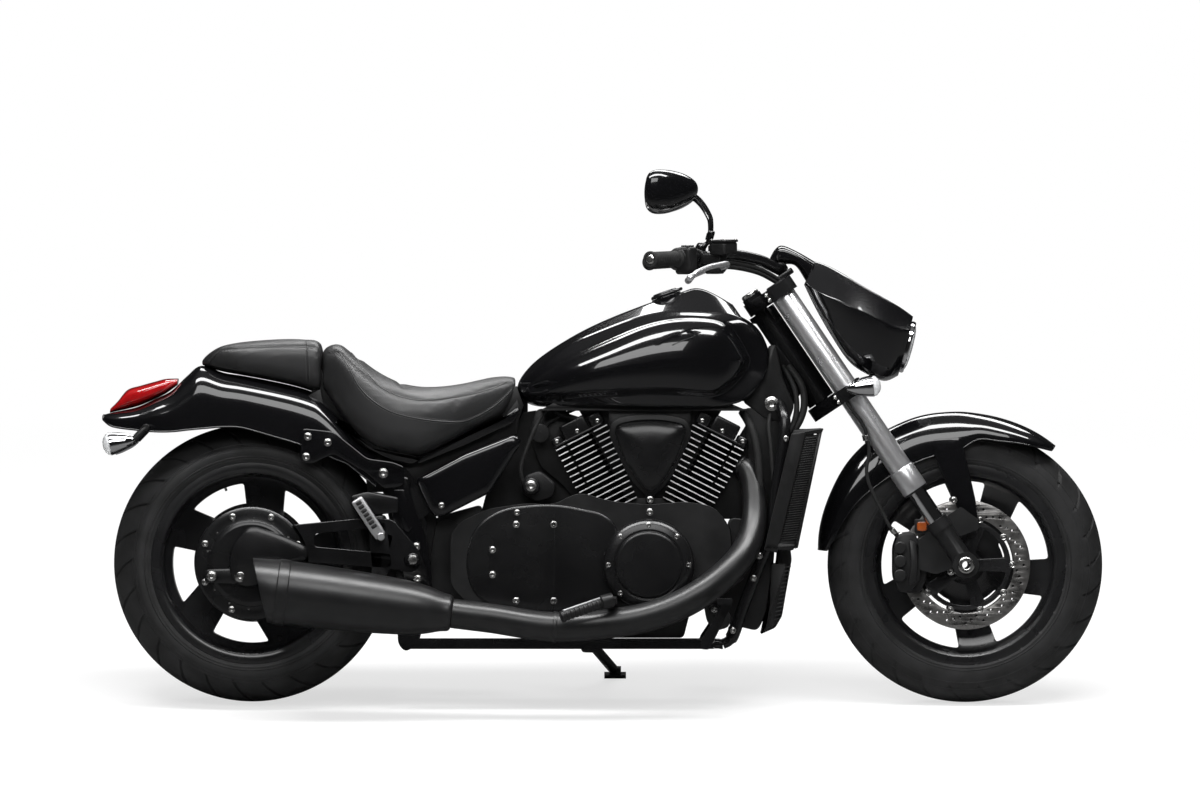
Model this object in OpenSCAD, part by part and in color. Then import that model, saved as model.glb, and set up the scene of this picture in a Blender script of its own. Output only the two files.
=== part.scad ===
// Cruiser motorcycle with a V-twin engine, standing on its side stand.
// Each piece is drawn on the upright machine: X forward, Y to the left, Z up.
// place() then leans the whole machine over until the stand's foot meets the floor.

/* [Stance] */
// Lean to the left on the side stand, in degrees
lean = 10; // [9:0.5:11]
// Distance between the wheel axles
wheelbase = 1695; // [1685:1:1710]
// Front axle ahead of the middle of the machine
axle_x = 860; // [858:1:864]
// Rake of the fork, in degrees
rake = 34; // [33.8:0.1:34.2]

/* [Wheels] */
// Outer radius of the front tyre
front_r = 327; // [322:1:330]
// Width of the front tyre
front_w = 130; // [120:1:134]
// Outer radius of the rear tyre
rear_r = 330; // [325:1:334]
// Width of the rear tyre
rear_w = 240; // [232:1:244]
// Radius of the rear tyre's crown, across its tread
rear_crown = 150; // [140:1:170]
// Bead seat radius of both rims
bead_r = 229; // [225:1:232]
// Depth of the rim's barrel below the bead seat
barrel_t = 20; // [14:1:24]
// Spokes of each wheel
spokes = 5; // [4:1:6]
// Radius of the front axle
front_axle_r = 12.5; // [11:0.5:14]
// Radius of the bore through the hollow front axle
axle_bore_r = 9; // [6:0.5:10]
// Radius of the rear axle
rear_axle_r = 14; // [12:0.5:16]

/* [Brakes] */
// Outer radius of the front brake discs
front_disc_r = 154; // [148:1:158]
// Outer radius of the rear brake disc
rear_disc_r = 142; // [136:1:146]
// Width of the friction band
band_w = 39; // [34:1:42]
// Thickness of a brake disc
disc_t = 5; // [4:0.5:6]

/* [Fork] */
// Offset of the fork legs ahead of the steering axis
fork_offset = 65; // [62:1:68]
// Fork legs to each side of the middle
leg_y = 106; // [104:1:110]
// Radius of the upper fork tubes
tube_r = 28; // [26:0.5:29]
// Radius of the lower fork tubes
slider_r = 21.5; // [20:0.5:23]
// Radius of the steering stem
stem_r = 17.5; // [16:0.5:20]
// Height of the lower clamp above the axle, along the fork
lower_clamp = 480; // [476:1:486]
// Height of the top clamp above the axle, along the fork
top_clamp = 772; // [768:1:776]
// Thickness of each clamp
clamp_t = 32; // [28:1:36]

/* [Engine] */
// Crankshaft ahead of the middle of the machine
crank_x = 110; // [106:1:114]
// Height of the crankshaft
crank_z = 302; // [299:1:305]
// Angle between the two cylinders, in degrees
v_angle = 54; // [53:0.5:55]
// Cooling fins on each cylinder
fins = 10; // [8:1:11]
// Depth of a cylinder's fins, fore and aft
fin_w = 134; // [128:1:138]
// Width of the fins across the machine
fin_l = 208; // [196:1:216]
// Thickness of a fin
fin_t = 6; // [4:0.5:8]

/* [Body] */
// Greatest half width of the fuel tank
tank_w = 204; // [196:1:208]
// Greatest half width of the rider's seat
seat_w = 190; // [180:1:196]
// Half width of the rear fender
fender_w = 147; // [143:1:152]
// Half width of the headlamp cowl
cowl_w = 165; // [158:1:170]
// Wall of the fenders
sheet_t = 4; // [3:0.5:5]

/* [Exhaust] */
// Mufflers to each side of the middle
muffler_y = 245; // [243:1:250]
// Radius of a muffler at its rear end
muffler_r = 76; // [72:1:78]

/* [Handlebar] */
// Reach of the handlebar to each side
bar_reach = 432; // [425:1:440]
// Radius of the handlebar
bar_r = 12.7; // [11:0.5:14]
// Radius of the grips
grip_r = 17.5; // [16:0.5:19]

/* [Hidden] */
$fn = 48;

// The crown circles of both tyres, leaned over, rest on one floor
front_crown = front_w / 2;
front_z = front_r;
floor_z = front_crown * (cos(lean) - 1);
rear_z = rear_r - rear_crown + (floor_z + rear_crown) / cos(lean);
rear_x = axle_x - wheelbase;

// The middle of the leaned machine's box, where the origin is
tail_reach = 356;
row_x = (axle_x + front_r + rear_x - tail_reach) / 2;
row_y = 168;
// Gap between curved pieces that lie against each other
seat_gap = 0.3;
// Running clearance of a shaft in its bore
run_gap = 0.05;

function curve_point(a, b, c, d, t) =
    0.5 * (2 * b + (c - a) * t + (2 * a - 5 * b + 4 * c - d) * t * t + (3 * b - a - 3 * c + d) * t * t * t);
// A smooth curve through the points, with n steps from each to the next
function spline(p, n) = [
    for (i = [0:len(p) - 2], k = [0:n - 1])
        curve_point(p[max(i - 1, 0)], p[i], p[i + 1], p[min(i + 2, len(p) - 1)], k / n),
    p[len(p) - 1]];
function closed_spline(p, n) = let (m = len(p)) [
    for (i = [0:m - 1], k = [0:n - 1])
        curve_point(p[(i + m - 1) % m], p[i], p[(i + 1) % m], p[(i + 2) % m], k / n)];
function unit(v) = v / norm(v);
// The outline with each corner rounded, cutting no more than half of an edge
function rounded(p, r, n = 4) = let (m = len(p)) [
    for (i = [0:m - 1])
        let (
            a = p[(i + m - 1) % m] - p[i],
            b = p[(i + 1) % m] - p[i],
            t = min(r, norm(a) / 2.02, norm(b) / 2.02),
            s = p[i] + unit(a) * t,
            e = p[i] + unit(b) * t
        )
        for (k = [0:n]) let (u = k / n) (1 - u) * (1 - u) * s + 2 * u * (1 - u) * p[i] + u * u * e];
function arc(r, a0, a1, n) = [for (k = [0:n]) let (a = a0 + (a1 - a0) * k / n) [r * cos(a), r * sin(a)]];
function signed_power(v, p) = sign(v) * pow(abs(v), p);

// A body section across the machine, from its lower middle point to its upper one.
// s = [lower x, lower z, upper x, upper z, half width, height of the widest line, fullness above, below]
function section(s, n) = [
    for (k = [0:n - 1])
        let (
            a = 360 * (k + 0.5) / n - 90,
            up = sin(a),
            y = s[4] * signed_power(cos(a), up > 0 ? s[6] : s[7]),
            h = up > 0 ? s[5] + (1 - s[5]) * pow(up, s[6]) : s[5] * (1 - pow(-up, s[7]))
        )
        [s[0] + (s[2] - s[0]) * h, y, s[1] + (s[3] - s[1]) * h]];
function middle(ring) = [for (p = ring) 1] * ring / len(ring);

// Faces between m rings of n points each, every ring turning right-handed about the way to the next
function ring_faces(m, n) = [
    for (j = [0:m - 2], i = [0:n - 1])
        let (a = j * n + i, b = j * n + (i + 1) % n)
        each [[a, a + n, b + n], [a, b + n, b]]];
// A closed solid through rings of points, with a middle point at each end
module loft(rings) {
    n = len(rings[0]);
    m = len(rings);
    points = concat([for (r = rings, p = r) p], [middle(rings[0]), middle(rings[m - 1])]);
    ends = [
        for (i = [0:n - 1])
            let (b = (i + 1) % n)
            each [[i, b, n * m], [(m - 1) * n + b, (m - 1) * n + i, n * m + 1]]];
    polyhedron(points, concat(ring_faces(m, n), ends));
}
// A closed solid through flat rings, at each end one half of the ring joined to the other half
module flat_loft(rings) {
    n = len(rings[0]);
    m = len(rings);
    ends = [
        for (i = [0:n / 2 - 2])
            let (c = n - 2 - i, d = n - 1 - i, e = (m - 1) * n)
            each [[i, i + 1, c], [i, c, d], [e + i + 1, e + i, e + c], [e + i, e + d, e + c]]];
    polyhedron([for (r = rings) each r], concat(ring_faces(m, n), ends));
}
module body_loft(stations, steps, n) {
    loft([for (s = spline(stations, steps)) section(s, n)]);
}
// A bent sheet: each ring is its outer arc and then its inner arc, back again
module sheet(outer, inner) {
    w = len(outer[0]);
    flat_loft([for (j = [0:len(outer) - 1]) concat(outer[j], [for (i = [w - 1:-1:0]) inner[j][i]])]);
}
// A round tube along a path, its radius following the list r, its rings starting from the side way
module tube(path, r, side = [0, 1, 0], n = 14) {
    m = len(path);
    loft([
        for (i = [0:m - 1])
            let (
                t = unit(path[min(i + 1, m - 1)] - path[max(i - 1, 0)]),
                u = unit(side - t * (side * t)),
                v = cross(t, u),
                q = is_list(r) ? r[i] : r
            )
            [for (k = [0:n - 1]) let (a = 360 * k / n) path[i] + q * (u * cos(a) + v * sin(a))]]);
}
module rod(a, b, r) {
    d = b - a;
    translate(a) rotate([0, acos(d.z / norm(d)), atan2(d.y, d.x)]) cylinder(r = r, h = norm(d));
}
// A plate with an outline in X and Z, between two places across the machine
module plate(outline, y0, y1) {
    translate([0, max(y0, y1), 0]) rotate([90, 0, 0]) linear_extrude(abs(y1 - y0)) polygon(outline);
}
// A disc or boss on a cross axis
module boss(x, z, r, y0, y1) {
    translate([x, max(y0, y1), z]) rotate([90, 0, 0]) cylinder(r = r, h = abs(y1 - y0));
}
module both_sides() {
    children();
    mirror([0, 1, 0]) children();
}
module place() {
    translate([-row_x, -row_y, -floor_z]) rotate([-lean, 0, 0]) children();
}
module at_wheel(x, z) {
    translate([x, 0, z]) rotate([90, 0, 0]) children();
}
// The fork's own frame: its origin on the front axle, Z up along the legs, X ahead of them
module at_fork() {
    translate([axle_x, 0, front_z]) rotate([0, -rake, 0]) children();
}

// Wheels: half section profiles with the radius along X and the width along Y
module tyre_profile(r, w, crown) {
    crown_in = sqrt(crown * crown - w * w / 4);
    shoulder = r - crown + crown_in;
    intersection() {
        translate([r - crown, 0]) circle(crown, $fn = 128);
        translate([shoulder - 0.01, -w / 2]) square([crown, w]);
    }
    polygon(concat(
        [[bead_r, -bead_half(w)], [bead_r + rim_lip, -bead_half(w)]],
        [[shoulder, -w / 2], [shoulder, w / 2]],
        [[bead_r + rim_lip, bead_half(w)], [bead_r, bead_half(w)]]));
}
rim_lip = 12;
function bead_half(w) = w / 2 - 12;
// The rim's barrel with a flange outside each bead
module rim_profile(w) {
    half = bead_half(w);
    inner = bead_r - barrel_t;
    translate([inner, -half - 6]) square([barrel_t, 2 * half + 12]);
    for (s = [-1, 1])
        translate([inner, s > 0 ? half : -half - 6]) square([barrel_t + rim_lip, 6]);
}
// The opening between two spokes: wider at the rim, leaning back by skew degrees
module spoke_window(r0, r1, half0, half1, skew, h) {
    outline = concat(
        arc(r1, skew - half1, skew + half1, 6),
        arc(r0, half0, -half0, 3));
    translate([0, 0, -h / 2]) linear_extrude(h) polygon(rounded(outline, 14, 3));
}

module front_tyre() {
    color([0.1, 0.1, 0.1]) place() at_wheel(axle_x, front_z)
        rotate_extrude($fn = 128) tyre_profile(front_r, front_w, front_crown);
}
module rear_tyre() {
    color([0.1, 0.1, 0.1]) place() at_wheel(rear_x, rear_z)
        rotate_extrude($fn = 128) tyre_profile(rear_r, rear_w, rear_crown);
}

front_hub = 60;
hub_r = 36;
module front_rim() {
    color([0.16, 0.16, 0.17]) place() at_wheel(axle_x, front_z) difference() {
        rotate_extrude($fn = 128) {
            rim_profile(front_w);
            polygon([[0, -front_hub], [hub_r, -front_hub], [hub_r + 10, -26], [150, -20],
                [bead_r - barrel_t + 2, -34],
                [bead_r - barrel_t + 2, 34], [150, 20], [hub_r + 10, 26], [hub_r, front_hub], [0, front_hub]]);
        }
        for (k = [0:spokes - 1])
            rotate(360 * (k + 0.25) / spokes) spoke_window(92, bead_r - barrel_t, 13, 24, 9, 140);
        cylinder(r = front_axle_r + run_gap, h = 3 * front_w, center = true);
    }
}
// A brake disc about the local Z axis: friction band, drilled holes, bobbins and carrier
module brake_disc(r, hub, drops) {
    difference() {
        cylinder(r = r, h = disc_t, $fn = 96);
        translate([0, 0, -1]) cylinder(r = r - band_w, h = disc_t + 2, $fn = 96);
        for (k = [0:29])
            let (a = 12 * k, q = r - 9 - 7 * (k % 3 + 1))
            translate([q * cos(a), q * sin(a), -1]) cylinder(r = 3.5, h = disc_t + 2, $fn = 16);
    }
    difference() {
        union() {
            cylinder(r = r - band_w - 8, h = disc_t);
            for (k = [0:drops - 1])
                rotate(360 * k / drops) translate([r - band_w - 4, 0, 0])
                    cylinder(r = 8, h = disc_t + 1, $fn = 20);
        }
        for (k = [0:4])
            rotate(72 * k + 36) spoke_window(hub + 14, r - band_w - 18, 10, 26, 0, 60);
        translate([0, 0, -1]) cylinder(r = hub, h = disc_t + 3);
    }
}
module front_discs() {
    color([0.6, 0.6, 0.62]) place() at_wheel(axle_x, front_z)
        for (s = [0, 1])
            mirror([0, 0, s]) translate([0, 0, front_hub]) brake_disc(front_disc_r, front_axle_r + 4, 10);
}

rear_hub_right = 122;
rear_hub_left = 108;
module rear_rim() {
    inner = bead_r - barrel_t;
    color([0.16, 0.16, 0.17]) place() at_wheel(rear_x, rear_z) difference() {
        rotate_extrude($fn = 128) {
            rim_profile(rear_w);
            polygon([[0, -rear_hub_left], [62, -rear_hub_left], [70, -38], [150, -30], [inner + 2, -60],
                [inner + 2, 60], [150, 30], [84, 40], [70, rear_hub_right], [0, rear_hub_right]]);
        }
        for (k = [0:spokes - 1])
            rotate(360 * (k + 0.5) / spokes) spoke_window(104, inner, 12, 23, 9, 300);
        cylinder(r = rear_axle_r + run_gap, h = 3 * rear_w, center = true);
    }
}
module rear_disc() {
    color([0.6, 0.6, 0.62]) place() at_wheel(rear_x, rear_z)
        mirror([0, 0, 1]) translate([0, 0, rear_hub_left]) brake_disc(rear_disc_r, 30, 8);
}

// The fork and all that turns with it
module fork_leg_places() {
    for (s = [-1, 1]) translate([0, s * leg_y, 0]) children();
}
casting_top = 128;
slider_top = 232;
tube_low = 214;
tube_top = top_clamp + clamp_t;
module fork_tubes() {
    color([0.62, 0.63, 0.65]) place() at_fork() fork_leg_places() difference() {
        union() {
            translate([0, 0, tube_low]) cylinder(r = tube_r, h = tube_top - tube_low);
            translate([0, 0, tube_low]) cylinder(r = tube_r + 3.5, h = 60);
        }
        translate([0, 0, tube_low - 1]) cylinder(r = slider_r, h = slider_top - tube_low + 1);
    }
}
module fork_sliders() {
    color([0.75, 0.76, 0.78]) place() at_fork() fork_leg_places()
        translate([0, 0, casting_top]) cylinder(r = slider_r, h = slider_top - casting_top);
}
leg_boss = 26;
module fork_ends() {
    color([0.13, 0.13, 0.14]) place() difference() {
        union() {
            at_fork() for (s = [-1, 1]) translate([0, s * leg_y, 0]) {
                translate([0, 0, -10]) cylinder(r = 25, h = casting_top - 18);
                translate([0, 0, casting_top - 28]) cylinder(r = 28, h = 28);
                rotate([90, 0, 0]) cylinder(r = 31, h = 2 * leg_boss, center = true);
                rotate([90, 0, 0]) translate([0, 0, -7]) linear_extrude(14) polygon(rounded([
                    [-20, 8], [-72, 22], [-104, 60], [-98, 96], [-60, 112], [-20, 118]], 8));
            }
            both_sides() plate(rounded([[800, 385], [792, 420], [802, 434], [848, 466], [890, 436],
                [892, 412], [850, 396]],
                8), stay_y + stay_t, stay_y + stay_t + 10);
            translate([axle_x, 0, front_z]) rotate([90, 0, 0]) {
                cylinder(r = front_axle_r, h = 2 * (leg_y + leg_boss) + 8, center = true);
                for (s = [0, 1]) mirror([0, 0, s]) {
                    translate([0, 0, front_hub + 1])
                        cylinder(r = front_axle_r + 3, h = leg_y - leg_boss - front_hub + 1);
                    translate([0, 0, leg_y + leg_boss - 2]) cylinder(r = front_axle_r + 6, h = 6);
                }
            }
        }
        translate([axle_x, 0, front_z]) rotate([90, 0, 0])
            cylinder(r = axle_bore_r, h = 3 * front_w, center = true);
    }
}
// The outline of a clamp from above: two tube eyes, the stem's eye and the web between them
module clamp_outline(grow) {
    eye = tube_r + 10;
    polygon(rounded([
        [-fork_offset - grow, -30], [-fork_offset - grow, 30], [-eye, leg_y], [-eye, leg_y + eye],
        [eye, leg_y + eye], [eye, leg_y - 34], [-20, 30],
        [-20, -30], [eye, -leg_y + 34], [eye, -leg_y - eye],
        [-eye, -leg_y - eye], [-eye, -leg_y]], 18));
}
module triple_clamps() {
    color([0.1, 0.1, 0.11]) place() at_fork() difference() {
        union() {
            translate([0, 0, lower_clamp]) linear_extrude(clamp_t) clamp_outline(40);
            translate([0, 0, top_clamp]) linear_extrude(clamp_t) clamp_outline(28);
            translate([-fork_offset, 0, lower_clamp])
                cylinder(r = stem_r, h = top_clamp + clamp_t + 8 - lower_clamp);
            translate([-fork_offset, 0, top_clamp + clamp_t]) cylinder(r = 24, h = 10, $fn = 6);
            for (s = [-1, 1]) translate([16, s * 60 - 7, lower_clamp + 3]) cube([50, 14, 14]);
        }
        fork_leg_places() translate([0, 0, lower_clamp - 1])
            cylinder(r = tube_r, h = top_clamp - lower_clamp + 99);
    }
}

// Inner face and thickness of the front fender's stays
stay_y = 79;
stay_t = 5;
// The front fender: [angle about the axle, crown radius, drop of the edge, half width]
fender_arc = [
    [174, 352, 20, 58], [166, 357, 40, 66], [152, 363, 62, 72], [139, 371, 86, 74], [127, 374, 98, 74],
    [117, 371, 99, 74], [107, 370, 99, 76], [97, 366, 96, 77.5], [91, 364, 84, 78.6], [84, 361, 60, 82],
    [74, 359, 52, 87], [63, 358, 36, 84], [57, 357, 24, 74], [53, 356, 14, 58]];
module front_fender() {
    arch = spline(fender_arc, 2);
    span = 8;
    // Points of a section, k from one edge over the crown to the other
    function arch_ring(s, wall) = [
        for (k = [-span:span])
            let (
                u = k / span,
                y = (s[3] - wall) * sin(90 * u),
                q = s[1] - wall - s[2] * (1 - pow(cos(90 * u), 0.8))
            )
            [axle_x + q * cos(s[0]), y, front_z + q * sin(s[0])]];
    color([0.05, 0.05, 0.06]) place()
        sheet([for (s = arch) arch_ring(s, 0)], [for (s = arch) arch_ring(s, sheet_t)]);
}
module fender_stays() {
    color([0.05, 0.05, 0.06]) place() both_sides()
        plate(rounded([[784, 626], [784, 586], [832, 480], [862, 412], [892, 414], [884, 480],
            [856, 604], [848, 630]], 8),
            stay_y, stay_y + stay_t);
}
module front_calipers() {
    color([0.09, 0.09, 0.1]) place() both_sides() difference() {
        plate(rounded([[694, 372], [722, 392], [762, 380], [768, 300], [752, 258], [706, 262], [690, 310]], 14),
            front_hub - 12, leg_y - 7);
        translate([axle_x, front_hub + disc_t + 3.5, front_z]) rotate([90, 0, 0])
            cylinder(r = front_disc_r + 5, h = disc_t + 7);
    }
}

// The handlebar's straight ends: X inward along the bar from its right end, Y to the rider, Z up
bar_sweep = 60;
bar_end = [112, -bar_reach, 1050];
bar_straight = 255;
bar_turn = bar_end + bar_straight * [cos(bar_sweep), sin(bar_sweep), 0.03];
module at_grip() {
    translate(bar_end) rotate([0, 0, bar_sweep]) rotate([0, -1.7, 0]) children();
}
module along_bar(x0, x1, r) {
    translate([x0, 0, 0]) rotate([0, 90, 0]) cylinder(r = r, h = x1 - x0);
}
module handlebar() {
    half = [[bar_turn.x, bar_turn.y, bar_turn.z], [300, -158, 1064], [368, -104, 1052],
        [412, -66, 1032], [425, -34, 1025]];
    right = spline(half, 4);
    path = concat(right, [for (k = [len(right) - 1:-1:0]) [right[k].x, -right[k].y, right[k].z]]);
    color([0.08, 0.08, 0.09]) place() {
        tube(path, bar_r, [0, 0, 1], 12);
        both_sides() at_grip() along_bar(0, bar_straight + 1, bar_r);
        at_fork() for (s = [-1, 1]) translate([10, s * 48 - 14, tube_top]) cube([40, 28, 12]);
    }
}
grip_len = 122;
module grips() {
    color([0.12, 0.12, 0.12]) place() both_sides() at_grip() difference() {
        union() {
            along_bar(-6, grip_len, grip_r);
            along_bar(-8, -2, grip_r + 2);
            along_bar(grip_len - 5, grip_len, grip_r + 4);
        }
        along_bar(0, grip_len + 1, bar_r);
    }
}
module hand_controls() {
    color([0.1, 0.1, 0.11]) place() both_sides() at_grip() difference() {
        union() {
            along_bar(grip_len + 1, grip_len + 46, 25);
            translate([grip_len + 3, -34, -34]) cube([40, 40, 60]);
            along_bar(bar_straight - 38, bar_straight - 12, 20);
            translate([bar_straight - 42, -66, -16]) cube([36, 52, 26]);
            translate([bar_straight - 62, -92, 6]) cube([62, 46, 36]);
        }
        along_bar(grip_len, bar_straight + 30, bar_r);
    }
}
module hand_levers() {
    path = spline([[230, -46, -25.6], [214, -80, -21], [180, -99, -15], [110, -98, -21], [62, -90, -32],
        [48, -88, -38],
        [36, -86, -44], [29, -85, -47]], 4);
    last = len(path) - 1;
    // Each lever tapers outward and ends in a ball
    radii = [for (k = [0:last]) k > last - 8 ? 5.5 + 3 * sin(20 * (k - last + 8)) : 8 - 2.5 * k / (last - 8)];
    color([0.78, 0.78, 0.8]) place() both_sides() at_grip() tube(path, radii, [0, 0, 1], 12);
}
module mirrors() {
    stem = spline([[229, -234, 1079.5], [250, -246, 1108], [258, -264, 1146], [248, -286, 1180],
        [218, -312, 1204], [176, -339, 1214]], 3);
    color([0.06, 0.06, 0.07]) place() both_sides() {
        tube(stem, 5, [1, 0, 0], 10);
        translate([164, -345, 1216]) rotate([0, -8, 48])
            loft([for (a = [0:5]) let (
                x = [-14, -12, -4, 6, 14, 18][a],
                q = [0.8, 0.97, 1, 0.9, 0.62, 0.3][a])
                [for (k = [0:23]) let (t = 15 * k)
                    [x, q * 74 * cos(t), q * (sin(t) > 0 ? 44 : 50) * signed_power(sin(t), 0.8)]]]);
    }
}
module headlamp_cowl() {
    color([0.04, 0.04, 0.05]) place() difference() {
        body_loft([
            [478, 993, 503, 1046, 112, 0.5, 0.7, 0.7], [505, 937, 528, 1040, 146, 0.6, 0.62, 0.7],
            [541, 874, 565, 1021, cowl_w - 2, 0.55, 0.6, 0.75], [583, 812, 610, 993, cowl_w, 0.5, 0.6, 0.7],
            [625, 781, 660, 964, cowl_w - 8, 0.48, 0.62, 0.62], [668, 764, 705, 938, 138, 0.5, 0.62, 0.6],
            [700, 776, 734, 916, 112, 0.5, 0.6, 0.6]], 2, 32);
    }
}
module headlamp_lens() {
    color([0.85, 0.88, 0.9]) place() translate([718.6, 0, 846]) rotate([0, 15, 0])
        loft([for (a = [0:3]) let (x = [0.6, 8, 14, 17][a], q = [1, 0.97, 0.8, 0.5][a])
            [for (k = [0:27]) let (t = 360 * k / 28)
                [x, q * 92 * signed_power(cos(t), 0.75), q * 61 * signed_power(sin(t), 0.8)]]]);
}
module instruments() {
    color([0.07, 0.07, 0.08]) place() body_loft([
        [392, 1044, 394, 1052, 50, 0.5, 0.6, 0.6], [410, 1043, 408, 1077, 70, 0.5, 0.5, 0.5],
        [430, 1042, 426, 1086, 77, 0.5, 0.5, 0.5], [457, 1038, 464, 1070, 78, 0.5, 0.5, 0.5],
        [481.6, 1002, 502, 1048, 76, 0.5, 0.5, 0.5]], 2, 24);
}
module front_signals() {
    color([0.75, 0.75, 0.78]) place() both_sides() {
        translate([572, -184, 745]) rotate([0, 84, 0]) rotate_extrude()
            polygon([[0, 0], [8, 4], [16, 22], [23, 52], [25, 66], [24, 74], [16, 82], [0, 86]]);
        boss(592, 738, 8, -leg_y - tube_r - 10.2, -178);
    }
}
module brake_hoses() {
    color([0.06, 0.06, 0.06]) place() both_sides() {
        route = spline([[577, -136, 714.4], [590, -137.5, 695], [618, -134.5, 655], [630, -130, 602],
            [624, -130, 547],
            [638, -126, 500], [660, -118, 457], [678, -110, 421], [700, -100, 394]], 3);
        tube(route, 4, [0, 1, 0], 8);
    }
}

// The body of the machine
filler_r = 36;
filler_bore_r = 27;
filler_depth = 52;
// The neck's wider mouth, where the closed cap's plug sits
filler_mouth_r = 30;
// Nested outlines of the tank's right half, each point as [X, Z, distance from the middle plane]:
// the edge of the side bulge, the groove round it, the rim, the edge of the spine and the middle plane
tank_outlines = [
    [[-187, 745, 62], [-193, 746, 58], [-199, 748, 54], [-206, 746, 24], [-207, 745, 0]],
    [[-147, 777, 92], [-152, 781, 84], [-161, 787, 70], [-168, 803, 22], [-170, 805, 0]],
    [[-88, 814, 112], [-92, 820, 100], [-92, 842, 78], [-90, 859, 22], [-90, 861, 0]],
    [[-8, 852, 120], [-12, 858, 108], [-8, 881, 84], [-8, 901, 23], [-8, 904, 0]],
    [[91, 894, 124], [90, 901, 112], [91, 916, 92], [91, 941, 24], [91, 943.5, 0]],
    [[170, 911, 122], [171, 918, 112], [170, 926, 96], [175, 969, 24], [176, 972, 0]],
    [[242, 911, 114], [243, 917, 106], [246, 924, 90], [232, 983, 20], [231, 985.5, 0]],
    [[285, 900, 110], [291, 905, 102], [309, 916, 84], [309, 943, 20], [309, 945, 0]],
    [[313, 869, 106], [321, 871, 96], [361, 885, 88], [352, 914, 20], [352, 916, 0]],
    [[334, 834, 106], [342, 833, 94], [384, 846, 88], [376, 878, 30], [374, 880, 0]],
    [[341, 814, 108], [349, 812, 94], [388, 814, 90], [388, 812, 40], [386, 812, 0]],
    [[329, 788, 114], [337, 784, 98], [378, 774, 94], [376, 774, 44], [374, 776, 0]],
    [[293, 750, 134], [299, 743, 120], [341, 731, 114], [336, 734, 60], [334, 736, 0]],
    [[249, 735, 154], [251, 726, 142], [300, 712, 128], [296, 707, 60], [294, 709, 0]],
    [[150, 742, 174], [150, 731, 160], [210, 706, 142], [206, 703, 66], [204, 706, 0]],
    [[31, 739, 172], [31, 729, 158], [71, 710, 148], [70, 707, 70], [70, 710, 0]],
    [[-88, 731, 146], [-88, 723, 134], [-48, 712, 132], [-50, 708, 60], [-50, 709, 0]],
    [[-171, 727, 88], [-172, 720, 82], [-150, 713, 98], [-160, 705, 40], [-165, 703, 0]]];
// The line along the bulge's widest part: [X, Z, distance from the middle plane]
tank_core = [[-160, 746, tank_w - 108], [-120, 757, tank_w - 58], [-60, 774, tank_w - 24],
    [20, 795, tank_w - 5],
    [94, 808, tank_w], [170, 818, tank_w - 3], [240, 820, tank_w - 18], [290, 817, tank_w - 44]];
module tank_body() {
    loops = [for (k = [0:4]) closed_spline([for (row = tank_outlines) row[k]], 2)];
    core_z = [for (p = tank_core) [p.x, p.y]];
    core_y = [for (p = tank_core) [p.x, p.z]];
    bulge = [
        for (a = [80, 58, 36, 16]) [
            for (p = loops[0])
                let (
                    x = min(max(p.x * 0.94 + 6, tank_core[0].x), tank_core[7].x),
                    s = 1 - cos(a),
                    h = pow(sin(a), 0.9)
                )
                [p.x + (x - p.x) * s, p.y + (lookup(x, core_z) - p.y) * s,
                    p.z + (lookup(x, core_y) - p.z) * h]]];
    half = concat(bulge, [for (k = [0:3]) loops[k]]);
    flat_loft(concat(
        [for (ring = half) [for (p = ring) [p.x, -p.z, p.y]]],
        [[for (p = loops[4]) [p.x, 0, p.y]]],
        [for (k = [len(half) - 1:-1:0]) [for (p = half[k]) [p.x, p.z, p.y]]]));
}
module at_filler() {
    translate([150, 0, 963]) rotate([0, -19, 0]) children();
}
module fuel_tank() {
    color([0.03, 0.03, 0.04]) place() difference() {
        union() {
            tank_body();
            at_filler() translate([0, 0, -24]) cylinder(r = filler_r, h = 28);
        }
        at_filler() translate([0, 0, -filler_depth]) cylinder(r = filler_bore_r, h = filler_depth + 10);
        at_filler() cylinder(r = filler_mouth_r, h = 10);
        at_fork() translate([-fork_offset - 47, -68, lower_clamp]) cube([140, 136, 400]);
        translate([-230, -34, 600]) cube([640, 68, beam_top + seat_gap - 600]);
    }
}
module fuel_cap() {
    color([0.5, 0.5, 0.52]) place() at_filler() {
        translate([0, 0, 4.4]) cylinder(r = filler_r, h = 7);
        translate([0, 0, 11.4]) cylinder(r = filler_r - 8, h = 3);
        translate([0, 0, 1]) cylinder(r = filler_bore_r - 3, h = 4);
        translate([filler_r + 3, 14, 8.4]) rotate([90, 0, 0]) cylinder(r = 4, h = 28);
        translate([filler_r - 6, -9, 4.4]) cube([9, 18, 7]);
    }
}
module rider_seat() {
    color([0.13, 0.13, 0.14]) place() body_loft([
        [-660, 735, -656, 846, 118, 0.5, 0.5, 0.5], [-630, 688, -625, 850, 146, 0.5, 0.5, 0.5],
        [-595, 642, -594, 824, 166, 0.5, 0.5, 0.45], [-541, 605, -541, 784, 182, 0.45, 0.55, 0.4],
        [-489, 591, -489, 758, seat_w, 0.45, 0.6, 0.4], [-440, 585, -439, 747, seat_w + 2, 0.5, 0.6, 0.4],
        [-390, 603, -387, 747, 184, 0.5, 0.6, 0.4], [-334, 630, -334, 754, 164, 0.5, 0.6, 0.45],
        [-282, 656, -284, 765, 138, 0.5, 0.6, 0.5], [-241, 674, -238, 774, 114, 0.5, 0.6, 0.55],
        [-211.2, 726, -209.6, 772, 92, 0.5, 0.6, 0.6]], 2, 32);
}
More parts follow.
